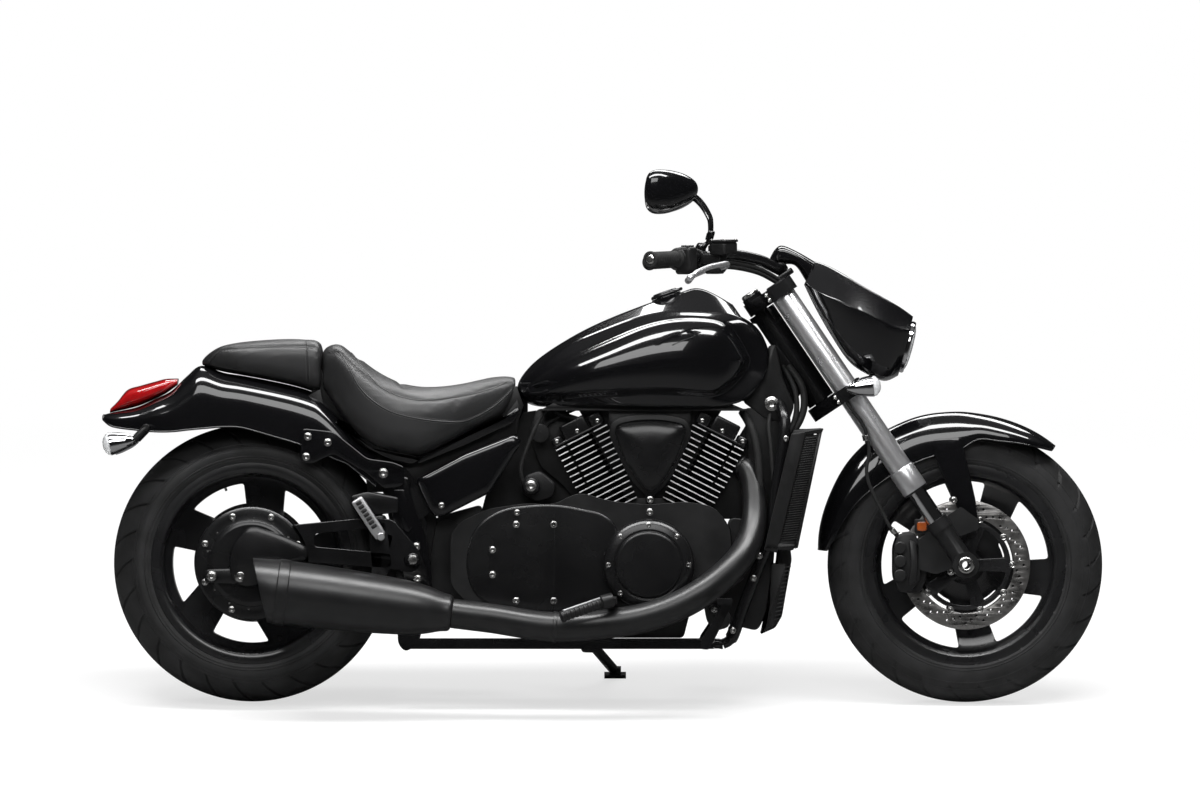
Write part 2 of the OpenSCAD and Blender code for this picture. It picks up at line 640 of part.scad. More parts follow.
pillion_stations = [
    [-956, 803, -955, 813, 60, 0.5, 0.5, 0.5], [-936, 795, -934, 832, 86, 0.5, 0.5, 0.5],
    [-905, 786, -906, 848, 104, 0.5, 0.5, 0.5], [-858, 777.5, -858, 854, 117, 0.5, 0.5, 0.5],
    [-796, 766, -796, 859, 124, 0.5, 0.5, 0.5], [-737, 753, -737, 862, 127, 0.5, 0.5, 0.5],
    [-694, 740, -694, 862, 126, 0.5, 0.5, 0.5], [-676, 733, -675, 859, 122, 0.5, 0.5, 0.5]];
module pillion_seat() {
    color([0.13, 0.13, 0.14]) place() body_loft(pillion_stations, 2, 28);
}
// Holes for a backrest or a luggage frame, one in each fender stay
rack_hole = [-522, 545];
rack_hole_r = 4.25;
// The rear fender: [X, height of the crown, height of the edge, half width]
rear_fender_line = [
    [-1188, 684, 672, 96], [-1165, 690, 656, 116], [-1110, 702, 648, 130], [-1065, 722, 644, 137],
    [-1027, 741, 644, 141], [-990, 776, 648, 143], [-956, 800.5, 651, 145], [-905, 784, 655, 146],
    [-858, 776.5, 653, fender_w], [-796, 765, 636, fender_w], [-737, 752, 619, fender_w],
        [-694, 739, 604, fender_w],
    [-672, 727, 596, fender_w], [-640, 696, 580, fender_w], [-612, 661, 569, fender_w],
        [-590, 633, 553, fender_w],
    [-560, 610, 530, fender_w], [-540, 600, 514, fender_w]];
module rear_fender() {
    line = spline(rear_fender_line, 1);
    span = 9;
    function arch_ring(s, wall) = [
        for (k = [-span:span])
            let (a = 90 * k / span)
            [s[0], -(s[3] - wall) * signed_power(sin(a), 0.5), s[2] + (s[1] - wall - s[2]) * pow(cos(a), 0.5)]];
    color([0.05, 0.05, 0.06]) place()
        sheet([for (s = line) arch_ring(s, 0)], [for (s = line) arch_ring(s, sheet_t)]);
    color([0.05, 0.05, 0.06]) place() both_sides() difference() {
        plate(rounded([[-470, 560], [-500, 572], [-560, 580], [-640, 644], [-715, 652], [-720, 572],
            [-690, 568],
            [-640, 592], [-560, 545], [-520, 508], [-474, 516]], 12), fender_w - 2, fender_w + 6);
        boss(rack_hole.x, rack_hole.y, rack_hole_r, 0, 200);
    }
}
module tail_lamp() {
    color([0.75, 0.05, 0.08]) place() body_loft([
        [-1174, 688.4, -1172, 699, 50, 0.5, 0.6, 0.6], [-1160, 691.6, -1155, 716, 62, 0.5, 0.6, 0.6],
        [-1132, 697.7, -1132, 743, 72, 0.5, 0.6, 0.6], [-1101, 706.5, -1101, 753, 78, 0.5, 0.6, 0.6],
        [-1065, 722.5, -1065, 763, 80, 0.5, 0.6, 0.6], [-1041, 734.5, -1041, 769, 78, 0.5, 0.6, 0.6],
        [-1014, 754, -1012, 770, 66, 0.5, 0.6, 0.6]], 1, 20);
}
module rear_signals() {
    color([0.75, 0.75, 0.78]) place() both_sides() {
        translate([-1108, -176, 625]) rotate([0, -100, 0]) rotate_extrude()
            polygon([[0, 0], [8, 4], [17, 20], [25, 48], [27, 62], [25, 68], [16, 76], [0, 80]]);
        boss(-1085, 654, 8, -134.4, -178);
        rod([-1085, -170, 654], [-1114, -176, 624], 8);
    }
}

// Top of the frame's upper beam, under the tank
beam_top = 754;
// Lower rails and the swingarm's pivot
rail_y = 118;
rail_r = 13;
pivot_x = -452;
pivot_z = 340;
pivot_r = 14;
// Inner and outer faces of the lower rails and pivot plates
side_in = rail_y - rail_r;
side_out = rail_y + rail_r;
neck_in = 22;
neck_out = 36;
module head_tube() {
    color([0.08, 0.08, 0.08]) place() difference() {
        union() {
            at_fork() translate([-fork_offset, 0, lower_clamp + clamp_t + 2])
                cylinder(r = 34, h = top_clamp - lower_clamp - clamp_t - 4);
            plate(rounded([[391.4, 826], [391.4, 848], [408, 850], [448, 800], [478, 748], [440, 690],
                [396, 672], [356, 690], [374, 734], [392, 772]], 10), -neck_out, neck_out);
        }
        at_fork() translate([-fork_offset, 0, lower_clamp])
            cylinder(r = stem_r + run_gap, h = top_clamp - lower_clamp);
        translate([300, -neck_in, 600]) cube([108, 2 * neck_in, 300]);
    }
}
module upper_frame() {
    color([0.08, 0.08, 0.08]) place() {
        plate([[407.7, 716], [407.7, beam_top], [-186, beam_top], [-204, 742], [-204, 690], [-244, 644],
            [-424, 553], [-424, 584],
            [-452, 584], [-452, 552], [-470, 552], [-470, 528], [-430, 528], [-236, 624], [-180, 692],
                [-180, 716]],
            -neck_in + seat_gap, neck_in - seat_gap);
        both_sides() translate([-468, neck_in - 2, 530]) cube([38, side_in - neck_in + 1.8, 20]);
    }
}
module down_tubes() {
    path = spline([[414, neck_out + seat_gap, 714], [414, 46, 714], [414, 58, 714], [424, 96, 694],
        [430, rail_y, 650],
        [412, rail_y, 520], [396, rail_y, 400], [366, rail_y, 318], [330, rail_y, 224], [306, rail_y, 156],
        [286, rail_y, 139.2], [274, rail_y, 139.2], [262.4, rail_y, 139.2]], 3);
    color([0.08, 0.08, 0.08]) place() both_sides() tube(path, [for (q = path) q.z < 150 ? 10.5 : 14],
        [1, 0, 0.3], 12);
}
module lower_frame() {
    color([0.08, 0.08, 0.08]) place() {
        both_sides() {
            translate([-462, side_in, 128]) cube([724, 2 * rail_r, 22]);
            difference() {
                plate(rounded([[-523, 499], [-514, 556], [-470, 562], [-446, 524], [-418, 418],
                    [-409, 286], [-440, 140],
                    [-470, 120], [-488, 140], [-490, 300], [-500, 400]], 14), side_in, side_out);
                boss(pivot_x, pivot_z, pivot_r, 0, 200);
            }
            boss(-487, 540, 12, side_out, fender_w - 2.1);
            plate(rounded([[-474, 500], [-424, 524], [-398, 462], [-440, 432]], 8), side_out, 139.8);
        }
        translate(stand_pivot) multmatrix(stand_turn) {
            translate([0, 0, -21]) linear_extrude(7)
                polygon(rounded([[-18, 14], [18, 14], [26, -30], [40, -46], [-40, -46], [-26, -30]], 10));
            translate([0, 0, -21]) cylinder(r = stand_pin_r, h = 42);
            translate([0, 0, 15]) cylinder(r = 12, h = 6, $fn = 6);
        }
        translate([-452, -side_in, 160]) rotate([-90, 0, 0]) cylinder(r = 14, h = 2 * side_in);
        translate([226, -side_in, 139]) rotate([-90, 0, 0]) cylinder(r = 9, h = 2 * side_in);
    }
}
case_half = 150;
case_outline = [
    [-363, 397], [-345, 426], [-277, 460], [-180, 474], [-120, 470], [-60, 500], [20, 478], [110, 470],
        [196, 478],
    [262, 466], [300, 420], [305, 340], [262, 262], [190, 214], [60, 178], [-180, 176], [-300, 214],
        [-363, 279]];
module crankcase() {
    color([0.12, 0.12, 0.13]) place() {
        plate(rounded(case_outline, 22), -case_half, case_half);
        plate(rounded([[-120, 180], [-100, 154], [190, 154], [210, 232], [60, 240]], 10),
            -side_in + 0.2, side_in - 0.2);
        plate(rounded([[-280, 214], [-340, 192], [-400, 210], [-410, 300], [-412, 400], [-380, 440],
            [-340, 424],
            [-300, 300]], 16), -100, 100);
    }
}
module front_cover() {
    color([0.12, 0.12, 0.13]) place() difference() {
        plate(rounded([[240, 200], [366, 170], [386, 210], [405, 340], [407, 378], [396, 430],
            [300, 440]], 14), -90, 90);
        plate(rounded(case_outline, 22), -case_half, case_half);
    }
}
// Battery and air box behind the rear cylinder, with a cheek to each side of the upper beam
module battery_box() {
    color([0.09, 0.09, 0.09]) place() difference() {
        union() {
            plate([[-290, 455], [-262, 560], [-245, 592], [-122, 592], [-74, 500], [-60, 470]], -42, 42);
            both_sides() plate([[-262, 560], [-215, 640], [-190, 690], [-160, 694], [-150, 650],
                [-126, 603], [-110, 570]],
                neck_in, 42);
        }
        plate(rounded(case_outline, 22), -case_half, case_half);
    }
}
cover_y = 206;
module engine_covers() {
    color([0.14, 0.14, 0.15]) place() {
        boss(crank_x, crank_z + 29, 107, -case_half, -cover_y + 14);
        boss(crank_x, crank_z + 29, 77, -cover_y + 14, -cover_y);
        plate(rounded([[-277, 330], [-262, 404], [-200, 439], [-70, 439], [2, 400], [2, 262],
            [-50, 239], [-200, 239],
            [-268, 268]], 40), -case_half, -cover_y + 22);
        boss(crank_x, crank_z + 29, 100, case_half, cover_y - 14);
        boss(crank_x, crank_z + 29, 74, cover_y - 14, cover_y);
        plate(rounded([[-250, 330], [-240, 400], [-180, 430], [-60, 430], [-14, 380], [-14, 262],
            [-60, 230], [-200, 230]],
            36), case_half, cover_y - 26);
    }
}
// A cylinder's own frame: Z up its bore from the crankshaft, X fore and aft across it
module at_cylinder(s) {
    translate([crank_x, 0, crank_z]) rotate([0, s * v_angle / 2, 0]) children();
}
barrel_low = 176;
barrel_top = 372;
head_top = 408;
module fin_outline(w, l) {
    polygon(rounded([[-w / 2, -l / 2 + 26], [-w / 2 + 22, -l / 2], [w / 2 - 22, -l / 2], [w / 2, -l / 2 + 26],
        [w / 2, l / 2 - 26], [w / 2 - 22, l / 2], [-w / 2 + 22, l / 2], [-w / 2, l / 2 - 26]], 16));
}
module cylinders() {
    pitch = (barrel_top - barrel_low - 14) / fins;
    color([0.5, 0.5, 0.52]) place() difference() {
        union() for (s = [-1, 1]) at_cylinder(s) {
            translate([0, 0, 120]) linear_extrude(barrel_top - 120) fin_outline(fin_w - 34, fin_l - 34);
            for (k = [0:fins - 1])
                translate([0, 0, barrel_low + 10 + pitch * (k + 0.5) - fin_t / 2])
                    linear_extrude(fin_t) fin_outline(fin_w, fin_l);
        }
        plate(rounded(case_outline, 22), -case_half, case_half);
    }
}
module head_covers() {
    color([0.1, 0.1, 0.11]) place() for (s = [-1, 1]) at_cylinder(s) {
        translate([0, 0, barrel_top]) linear_extrude(20) fin_outline(fin_w - 8, fin_l - 4);
        translate([0, 0, barrel_top + 20]) linear_extrude(head_top - barrel_top - 20)
            fin_outline(fin_w - 24, fin_l - 26);
    }
}
module intake_cover() {
    outline = rounded([[14, 640], [40, 668], [182, 668], [208, 640], [180, 574], [130, 506], [92, 506],
        [42, 574]], 26);
    color([0.11, 0.11, 0.12]) place() {
        both_sides() {
            plate(outline, 106, 140);
            plate(rounded([[36, 638], [50, 654], [172, 654], [186, 638], [162, 580], [124, 530],
                [98, 530], [60, 580]], 20), 140, 148);
        }
        difference() {
            plate([[12, 664], [12, 698], [208, 698], [208, 664], [122, 496], [118, 462], [102, 462],
                [98, 496]], -106, 106);
            plate(rounded(case_outline, 22), -case_half, case_half);
        }
        translate([-150, -120, 692.5]) cube([490, 240, 6]);
    }
}
module radiator() {
    rad_half = 157;
    fin_count = 30;
    lower = [414, 372];
    upper = [464, 644];
    run = upper - lower;
    color([0.1, 0.1, 0.1]) place() {
        both_sides() plate(rounded([[447, 647], [532, 659], [465, 364], [446, 333],
            [380, 364]], 8), rad_half, rad_half + 6);
        plate([[lower.x, lower.y], [upper.x, upper.y], [upper.x + 30, upper.y + 5],
            [lower.x + 30, lower.y - 6]],
            -rad_half, rad_half);
        for (k = [0:fin_count - 1])
            let (q = lower + run * ((k + 0.5) / fin_count))
            translate([q.x + 26, -rad_half, q.y - 3]) rotate([0, -10, 0]) cube([26, 2 * rad_half, 3.5]);
        for (s = [-1, 1], q = [[447.4, 594], [418.6, 430]])
            translate([q.x, s * rail_y - 8, q.y]) cube([20, 16, 14]);
        plate([[414, 372], [444, 366], [447, 340], [424, 206], [408, 178], [372, 162], [392, 206],
            [411, 340]], -104, 104);
    }
}
muffler_low = [-358, 214];
muffler_end = [-813, 271];
// The last stretch of both pipes lies on the muffler's axis
muffler_way = unit(muffler_low - muffler_end);
pipe_end = [for (k = [96, 48, 0]) [muffler_low.x + k * muffler_way.x, muffler_y,
    muffler_low.y + k * muffler_way.y]];
pipe_route = concat([
    [324, 66, 563], [343, 78, 548], [356, 98, 500], [358, 126, 440], [346, 160, 386], [312, 200, 330],
        [236, 236, 265],
    [146, muffler_y, 219], [39, muffler_y, 193], [-115, muffler_y, 182]], pipe_end);
rear_route = concat([
    [-104, 70, 562], [-130, 92, 548], [-170, 142, 530], [-206, 196, 486], [-222, 228, 410], [-208, 242, 320],
    [-206, muffler_y, 250]], pipe_end);
module exhaust_pipes() {
    right = spline([for (p = pipe_route) [p.x, -p.y, p.z]], 3);
    left = spline(rear_route, 3);
    color([0.1, 0.1, 0.1]) place() {
        tube(right, [for (k = [0:len(right) - 1]) 25 + 10 * min(1, k / 18)], [0, 1, 0], 16);
        tube(left, [for (k = [0:len(left) - 1]) 25 + 10 * min(1, k / 14)], [0, 1, 0], 16);
    }
}
module mufflers() {
    d = muffler_end - muffler_low;
    l = norm(d);
    color([0.1, 0.1, 0.1]) place() both_sides()
        translate([muffler_low.x, muffler_y, muffler_low.y]) rotate([0, -90 + atan2(d.y, -d.x), 0])
            difference() {
                rotate_extrude($fn = 72) polygon([
                    [0, 0.3], [43, 0.3], [45, 22], [57, 60], [64, 100], [70, 180], [muffler_r - 1, 300],
                    [muffler_r, 392], [muffler_r + 2, 394], [muffler_r + 2, 416], [muffler_r, 418],
                    [muffler_r - 6, l + 42], [muffler_r - 14, l + 42], [muffler_r - 18, l - 30], [0, l - 30]]);
                translate([0, 0, l]) rotate([0, -20, 0]) translate([-120, -120, 0]) cube([240, 240, 120]);
            }
}
module side_panels() {
    color([0.04, 0.04, 0.05]) place() both_sides()
        plate(rounded([[-445, 531], [-330, 592], [-209, 639], [-192, 622], [-234, 554], [-268, 499],
            [-387, 439],
            [-409, 448], [-434, 503]], 12), 140, 168);
}
// Inner and outer faces of the swingarm's arms
arm_in = 134;
arm_out = 160;
drive_r = 135;
module swingarm() {
    long_arm = rounded([[-428, 330], [-440, 366], [-500, 402], [rear_x + 60, rear_z + 34],
        [rear_x - 20, rear_z + 34],
        [rear_x - 42, rear_z], [rear_x - 20, rear_z - 34], [rear_x + 60, rear_z - 34], [-500, 318],
            [-450, 308]], 14);
    short_arm = rounded([[-428, 330], [-440, 366], [-500, 436], [-560, 440], [rear_x + 83, rear_z + 90],
        [rear_x + 83, rear_z + 6], [-500, 318], [-450, 308]], 14);
    color([0.1, 0.1, 0.11]) place() {
        difference() {
            union() {
                plate(long_arm, arm_in, arm_out);
                plate(short_arm, -arm_in, -arm_out);
            }
            plate(rounded([[-500, 396], [-560, 414], [rear_x + 150, rear_z + 70],
                [rear_x + 150, rear_z + 40], [-510, 356]], 8), 0, -200);
            boss(rear_x, rear_z, drive_r, 0, -200);
        }
        boss(pivot_x, pivot_z, pivot_r, -arm_out - 6, arm_out + 6);
        boss(pivot_x, pivot_z, 24, -side_in + 0.2, side_in - 0.2);
        boss(rear_x, rear_z, rear_axle_r, -arm_out - 10, arm_out + 12);
        boss(rear_x, rear_z, 21, rear_hub_left + 1, arm_in + 1);
        boss(rear_x, rear_z, 22, arm_out - 1, arm_out + 8);
    }
}
module final_drive() {
    color([0.12, 0.12, 0.13]) place() difference() {
        union() {
            boss(rear_x, rear_z, drive_r, -rear_hub_right - 6, -146);
            boss(rear_x, rear_z, 102, -145, -156);
            boss(rear_x, rear_z, 34, -rear_hub_right - 1, -162);
        }
        boss(rear_x, rear_z, rear_axle_r, 0, -200);
    }
}
module rear_caliper() {
    color([0.1, 0.1, 0.11]) place() difference() {
        plate(rounded([[rear_x + 64, 234], [rear_x + 132, 234], [rear_x + 158, 270], [rear_x + 146, 318],
            [rear_x + 96, 318], [rear_x + 62, 280]], 12), rear_hub_left - 12, arm_in);
        boss(rear_x, rear_z, rear_disc_r + 5, rear_hub_left - 4, rear_hub_left + disc_t + 6);
    }
}
module rider_footrests() {
    color([0.1, 0.1, 0.1]) place() both_sides() {
        translate([6, case_half, 236]) cube([26, 150, 18]);
        rod([14, 288, 245], [-101, 316, 206], 13);
        rod([22, 288, 247], [-6, 296, 240], 17);
    }
}
module foot_levers() {
    color([0.1, 0.1, 0.1]) place() both_sides() {
        boss(240, 139, 10, rail_y + rail_r, 274);
        plate(rounded([[228, 130], [250, 128], [304, 236], [284, 250], [262, 200], [230, 152]], 8), 262, 274);
        translate([268, 262, 236]) cube([36, 66, 14]);
    }
}
module pillion_footrests() {
    color([0.1, 0.1, 0.1]) place() both_sides() {
        plate(rounded([[-486, 452], [-486, 488], [-560, 502], [-600, 492], [-600, 462], [-540, 446]], 8),
            rail_y + rail_r, 150);
        boss(-585, 474, 11, 149, 176);
        rod([-592, 178, 484], [-528, 178, 392], 12);
    }
}
// Side stand: from its pivot to its foot when out, and when folded up
stand_pivot = [-32, 162, 140];
stand_reach = [60, 150, -72];
stand_folded = [-178, 45, -20];
stand_axis = unit(cross(stand_reach, stand_folded));
stand_pin_r = 7;
// Turns local Z onto the stand's hinge axis
stand_turn = let (z = stand_axis, x = unit(cross([0, 1, 0], z)), y = cross(z, x))
    [[x.x, y.x, z.x, 0], [x.y, y.y, z.y, 0], [x.z, y.z, z.z, 0]];
function placed(p) = [
    p.x - row_x,
    p.y * cos(lean) + p.z * sin(lean) - row_y,
    p.z * cos(lean) - p.y * sin(lean) - floor_z];
module side_stand() {
    foot = stand_pivot + stand_reach;
    color([0.1, 0.1, 0.1]) place() {
        rod(stand_pivot + stand_reach * 0.12, foot - stand_reach * 0.06, 12);
        translate(stand_pivot) multmatrix(stand_turn) translate([0, 0, -14]) difference() {
            cylinder(r = 22, h = 28);
            translate([0, 0, -1]) cylinder(r = stand_pin_r + run_gap, h = 30);
        }
    }
    color([0.1, 0.1, 0.1]) translate(placed(foot)) {
        foot_z = placed(foot).z;
        translate([-26, -20, -foot_z]) cube([52, 44, 8]);
        translate([-14, -14, -foot_z + 6]) cube([28, 28, 18]);
    }
}

head_tube();
upper_frame();
down_tubes();
lower_frame();
crankcase();
front_cover();
engine_covers();
cylinders();
head_covers();
intake_cover();
radiator();
exhaust_pipes();
mufflers();
battery_box();
fuel_tank();
fuel_cap();
rider_seat();
pillion_seat();
rear_fender();
tail_lamp();
rear_signals();
side_panels();
swingarm();
final_drive();
rear_caliper();
rider_footrests();
foot_levers();
pillion_footrests();
side_stand();
triple_clamps();
fork_tubes();
fork_sliders();
fork_ends();
front_fender();
fender_stays();
front_calipers();
handlebar();
grips();
hand_controls();
hand_levers();
mirrors();
headlamp_cowl();
headlamp_lens();
instruments();
front_signals();
brake_hoses();
front_rim();
front_tyre();
front_discs();
rear_rim();
rear_tyre();
rear_disc();
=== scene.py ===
import math

import bmesh
import bpy
from mathutils import Matrix, Vector
from mathutils.bvhtree import BVHTree
from mathutils.geometry import tessellate_polygon


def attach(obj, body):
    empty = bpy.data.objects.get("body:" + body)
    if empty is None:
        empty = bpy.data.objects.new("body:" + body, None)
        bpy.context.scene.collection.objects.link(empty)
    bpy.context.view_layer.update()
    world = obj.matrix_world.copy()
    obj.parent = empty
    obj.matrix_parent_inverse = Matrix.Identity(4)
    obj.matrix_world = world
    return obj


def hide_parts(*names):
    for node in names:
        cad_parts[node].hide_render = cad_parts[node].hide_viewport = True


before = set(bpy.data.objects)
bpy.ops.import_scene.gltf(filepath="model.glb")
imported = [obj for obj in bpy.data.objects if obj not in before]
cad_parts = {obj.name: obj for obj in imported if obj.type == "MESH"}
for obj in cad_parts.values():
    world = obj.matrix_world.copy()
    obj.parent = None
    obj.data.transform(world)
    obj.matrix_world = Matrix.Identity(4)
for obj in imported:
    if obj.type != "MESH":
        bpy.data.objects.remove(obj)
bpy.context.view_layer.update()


# ---------------------------------------------------------------- the machine's own frame
# Pieces are drawn on the upright machine in millimetres, X forward, Y left, Z up, and the matrix LEANED
# puts them on the side stand, in metres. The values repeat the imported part's.
LEAN = math.radians(10)
AXLE_X, FRONT_R, FRONT_W, REAR_R, REAR_CROWN = 860.0, 327.0, 130.0, 330.0, 150.0
WHEELBASE, TAIL_BACK, STAND_OUT = 1695.0, 356.0, 168.0
REAR_X = AXLE_X - WHEELBASE
FLOOR_Z = FRONT_W / 2 * (math.cos(LEAN) - 1)
FRONT_Z = FRONT_R
REAR_Z = REAR_R - REAR_CROWN + (FLOOR_Z + REAR_CROWN) / math.cos(LEAN)
ROW_X, ROW_Y = (AXLE_X + FRONT_R + REAR_X - TAIL_BACK) / 2, STAND_OUT
RAKE = math.radians(34)
FORK_OFFSET, LEG_Y = 65.0, 106.0


# ---------------------------------------------------------------- materials
def node_tree(name):
    m = bpy.data.materials.new(name)
    m.use_nodes = True
    nt = m.node_tree
    return m, nt, nt.nodes["Principled BSDF"]


def wire(nt, a, b):
    nt.links.new(a, b)


def noise_node(nt, scale, detail=4.0, rough=0.5, stretch=(1, 1, 1)):
    co = nt.nodes.new("ShaderNodeTexCoord")
    mp = nt.nodes.new("ShaderNodeMapping")
    mp.inputs["Scale"].default_value = stretch
    n = nt.nodes.new("ShaderNodeTexNoise")
    n.inputs["Scale"].default_value = scale
    n.inputs["Detail"].default_value = detail
    n.inputs["Roughness"].default_value = rough
    wire(nt, co.outputs["Object"], mp.inputs["Vector"])
    wire(nt, mp.outputs["Vector"], n.inputs["Vector"])
    return n


def ramp(nt, src, lo, hi, a, b):
    r = nt.nodes.new("ShaderNodeMapRange")
    r.inputs["From Min"].default_value, r.inputs["From Max"].default_value = lo, hi
    r.inputs["To Min"].default_value, r.inputs["To Max"].default_value = a, b
    wire(nt, src, r.inputs["Value"])
    return r.outputs["Result"]


def mix_color(nt, fac, a, b):
    m = nt.nodes.new("ShaderNodeMix")
    m.data_type = "RGBA"
    m.inputs["A"].default_value = (*a, 1)
    m.inputs["B"].default_value = (*b, 1)
    wire(nt, fac, m.inputs["Factor"])
    return m.outputs["Result"]


def bump(nt, bsdf, height, strength, distance):
    b = nt.nodes.new("ShaderNodeBump")
    b.inputs["Strength"].default_value = strength
    b.inputs["Distance"].default_value = distance
    wire(nt, height, b.inputs["Height"])
    wire(nt, b.outputs["Normal"], bsdf.inputs["Normal"])


def surface(name, dark, light, rough, metallic=0.0, scale=40.0, grain=0.0, grain_depth=0.0002, stretch=(1, 1, 1),
            **sockets):
    """A finish with its own colour variation, roughness variation and grain."""
    m, nt, b = node_tree(name)
    tone = noise_node(nt, scale, 5, 0.55, stretch)
    wire(nt, mix_color(nt, ramp(nt, tone.outputs["Fac"], 0.3, 0.7, 0, 1), dark, light), b.inputs["Base Color"])
    wear = noise_node(nt, scale * 0.4, 3, 0.6, stretch)
    wire(nt, ramp(nt, wear.outputs["Fac"], 0.3, 0.7, rough[0], rough[1]), b.inputs["Roughness"])
    b.inputs["Metallic"].default_value = metallic
    if grain:
        g = noise_node(nt, grain, 2, 0.5, stretch)
        bump(nt, b, g.outputs["Fac"], 0.6, grain_depth)
    for k, v in sockets.items():
        b.inputs[k.replace("_", " ")].default_value = v
    return m


PAINT = surface("gloss_black_paint", (0.0022, 0.0022, 0.0026), (0.0034, 0.0034, 0.0038), (0.14, 0.2), scale=6,
                Coat_Weight=1.0, Coat_Roughness=0.02, Specular_IOR_Level=0.15)
SATIN = surface("satin_black_coating", (0.005, 0.005, 0.0053), (0.008, 0.008, 0.0084), (0.3, 0.38), scale=30,
                grain=1500,
                grain_depth=0.00006, Specular_IOR_Level=0.5)
CAST = surface("cast_black_metal", (0.005, 0.005, 0.0053), (0.009, 0.009, 0.0093), (0.34, 0.46), scale=24, grain=900,
               grain_depth=0.00016, Specular_IOR_Level=0.35)
FRAME_PAINT = surface("frame_black_paint", (0.0035, 0.0035, 0.0037), (0.0055, 0.0055, 0.006), (0.2, 0.28), scale=20,
                      grain=400, grain_depth=0.00004, Specular_IOR_Level=0.45)
MACHINED = surface("machined_fin_metal", (0.60, 0.60, 0.61), (0.80, 0.80, 0.81), (0.28, 0.42), 0.5, 60,
                   stretch=(1, 0.1, 1))
BRUSHED = surface("brushed_alloy_tube", (0.64, 0.64, 0.65), (0.70, 0.70, 0.71), (0.27, 0.31), 0.88, 50)
CHROME = surface("chrome_plate", (0.70, 0.70, 0.71), (0.78, 0.78, 0.79), (0.03, 0.08), 1.0, 12)
BOLT = surface("zinc_bolt", (0.50, 0.50, 0.50), (0.70, 0.69, 0.67), (0.18, 0.32), 1.0, 200)
DISC = surface("brake_disc_steel", (0.36, 0.35, 0.34), (0.52, 0.51, 0.50), (0.22, 0.38), 1.0, 80)
DARK_STEEL = surface("dark_steel", (0.05, 0.05, 0.05), (0.09, 0.09, 0.09), (0.3, 0.45), 1.0, 60)
LEATHER = surface("seat_leather", (0.008, 0.008, 0.0083), (0.013, 0.013, 0.0134), (0.38, 0.48), scale=14, grain=1100,
                  grain_depth=0.00025, Specular_IOR_Level=0.5)
RUBBER = surface("tyre_rubber", (0.010, 0.010, 0.010), (0.018, 0.018, 0.0185), (0.48, 0.64), scale=18, grain=700,
                 grain_depth=0.00012, Specular_IOR_Level=0.2)
GRIP = surface("grip_rubber", (0.010, 0.010, 0.010), (0.015, 0.015, 0.015), (0.6, 0.75), scale=60, grain=900,
               grain_depth=0.0001, Specular_IOR_Level=0.2)
PLASTIC = surface("black_plastic", (0.006, 0.006, 0.006), (0.009, 0.009, 0.0093), (0.34, 0.44), scale=40, grain=1800,
                  grain_depth=0.00005, Specular_IOR_Level=0.3)
WHEEL = surface("wheel_black", (0.005, 0.005, 0.0055), (0.009, 0.009, 0.0095), (0.22, 0.34), scale=16, Coat_Weight=0.5,
                Coat_Roughness=0.12)
RED = surface("red_lamp_lens", (0.30, 0.005, 0.006), (0.44, 0.008, 0.010), (0.05, 0.09), scale=30, Coat_Weight=1.0,
              Coat_Roughness=0.02, Transmission_Weight=0.25)
CLEAR = surface("clear_lamp_lens", (0.78, 0.79, 0.80), (0.86, 0.87, 0.88), (0.04, 0.10), scale=40, Coat_Weight=1.0,
                Transmission_Weight=0.35)
AMBER = surface("orange_reflector", (0.20, 0.045, 0.008), (0.28, 0.06, 0.012), (0.1, 0.2), scale=60, Coat_Weight=1.0)
GLASS = surface("mirror_glass", (0.80, 0.80, 0.81), (0.84, 0.84, 0.85), (0.01, 0.03), 1.0, 5)

COVER = surface("satin_cover_paint", (0.004, 0.004, 0.0043), (0.006, 0.006, 0.0063), (0.22, 0.3), scale=22, grain=1300,
                grain_depth=0.00004, Specular_IOR_Level=0.45)
THREAD = surface("seat_thread", (0.03, 0.03, 0.031), (0.05, 0.05, 0.051), (0.6, 0.7), scale=300)
SWITCH = surface("switch_keys", (0.02, 0.02, 0.021), (0.03, 0.03, 0.031), (0.35, 0.45), scale=120)


# ---------------------------------------------------------------- shapes
LEANED = Matrix.Identity(4)
for row, vec in enumerate(((1, 0, 0, -ROW_X), (0, math.cos(LEAN), math.sin(LEAN), -ROW_Y),
                           (0, -math.sin(LEAN), math.cos(LEAN), -FLOOR_Z))):
    LEANED[row] = [v / 1000 for v in vec]
SIDES = (1, -1)


def turn(axis, degrees):
    return Matrix.Rotation(math.radians(degrees), 4, axis)


def shift(x, y, z):
    return Matrix.Translation((x, y, z))


def outward(x, y, z, side):
    """Local Z across the machine, toward the side."""
    return shift(x, y, z) @ turn("X", 90 if side < 0 else -90)


ACROSS = turn("X", 90)
FRONT_WHEEL = shift(AXLE_X, 0, FRONT_Z) @ ACROSS
REAR_WHEEL = shift(REAR_X, 0, REAR_Z) @ ACROSS
FORK = shift(AXLE_X, 0, FRONT_Z) @ turn("Y", -math.degrees(RAKE))
BAR_END = Vector((112, -432, 1050))
GRIP_AT = shift(*BAR_END) @ turn("Z", 60) @ turn("Y", -1.7)
CRANK_X, CRANK_Z, HALF_VEE = 110, 302, 27


def cylinder_at(s):
    return shift(CRANK_X, 0, CRANK_Z) @ turn("Y", s * HALF_VEE)


def curve_point(a, b, c, d, t):
    return tuple(0.5 * (2 * q + (r - p) * t + (2 * p - 5 * q + 4 * r - s) * t * t + (3 * q - p - 3 * r + s) * t ** 3)
                 for p, q, r, s in zip(a, b, c, d))


def spline(p, n):
    m = len(p)
    return [curve_point(p[max(i - 1, 0)], p[i], p[i + 1], p[min(i + 2, m - 1)], k / n)
            for i in range(m - 1) for k in range(n)] + [tuple(p[-1])]


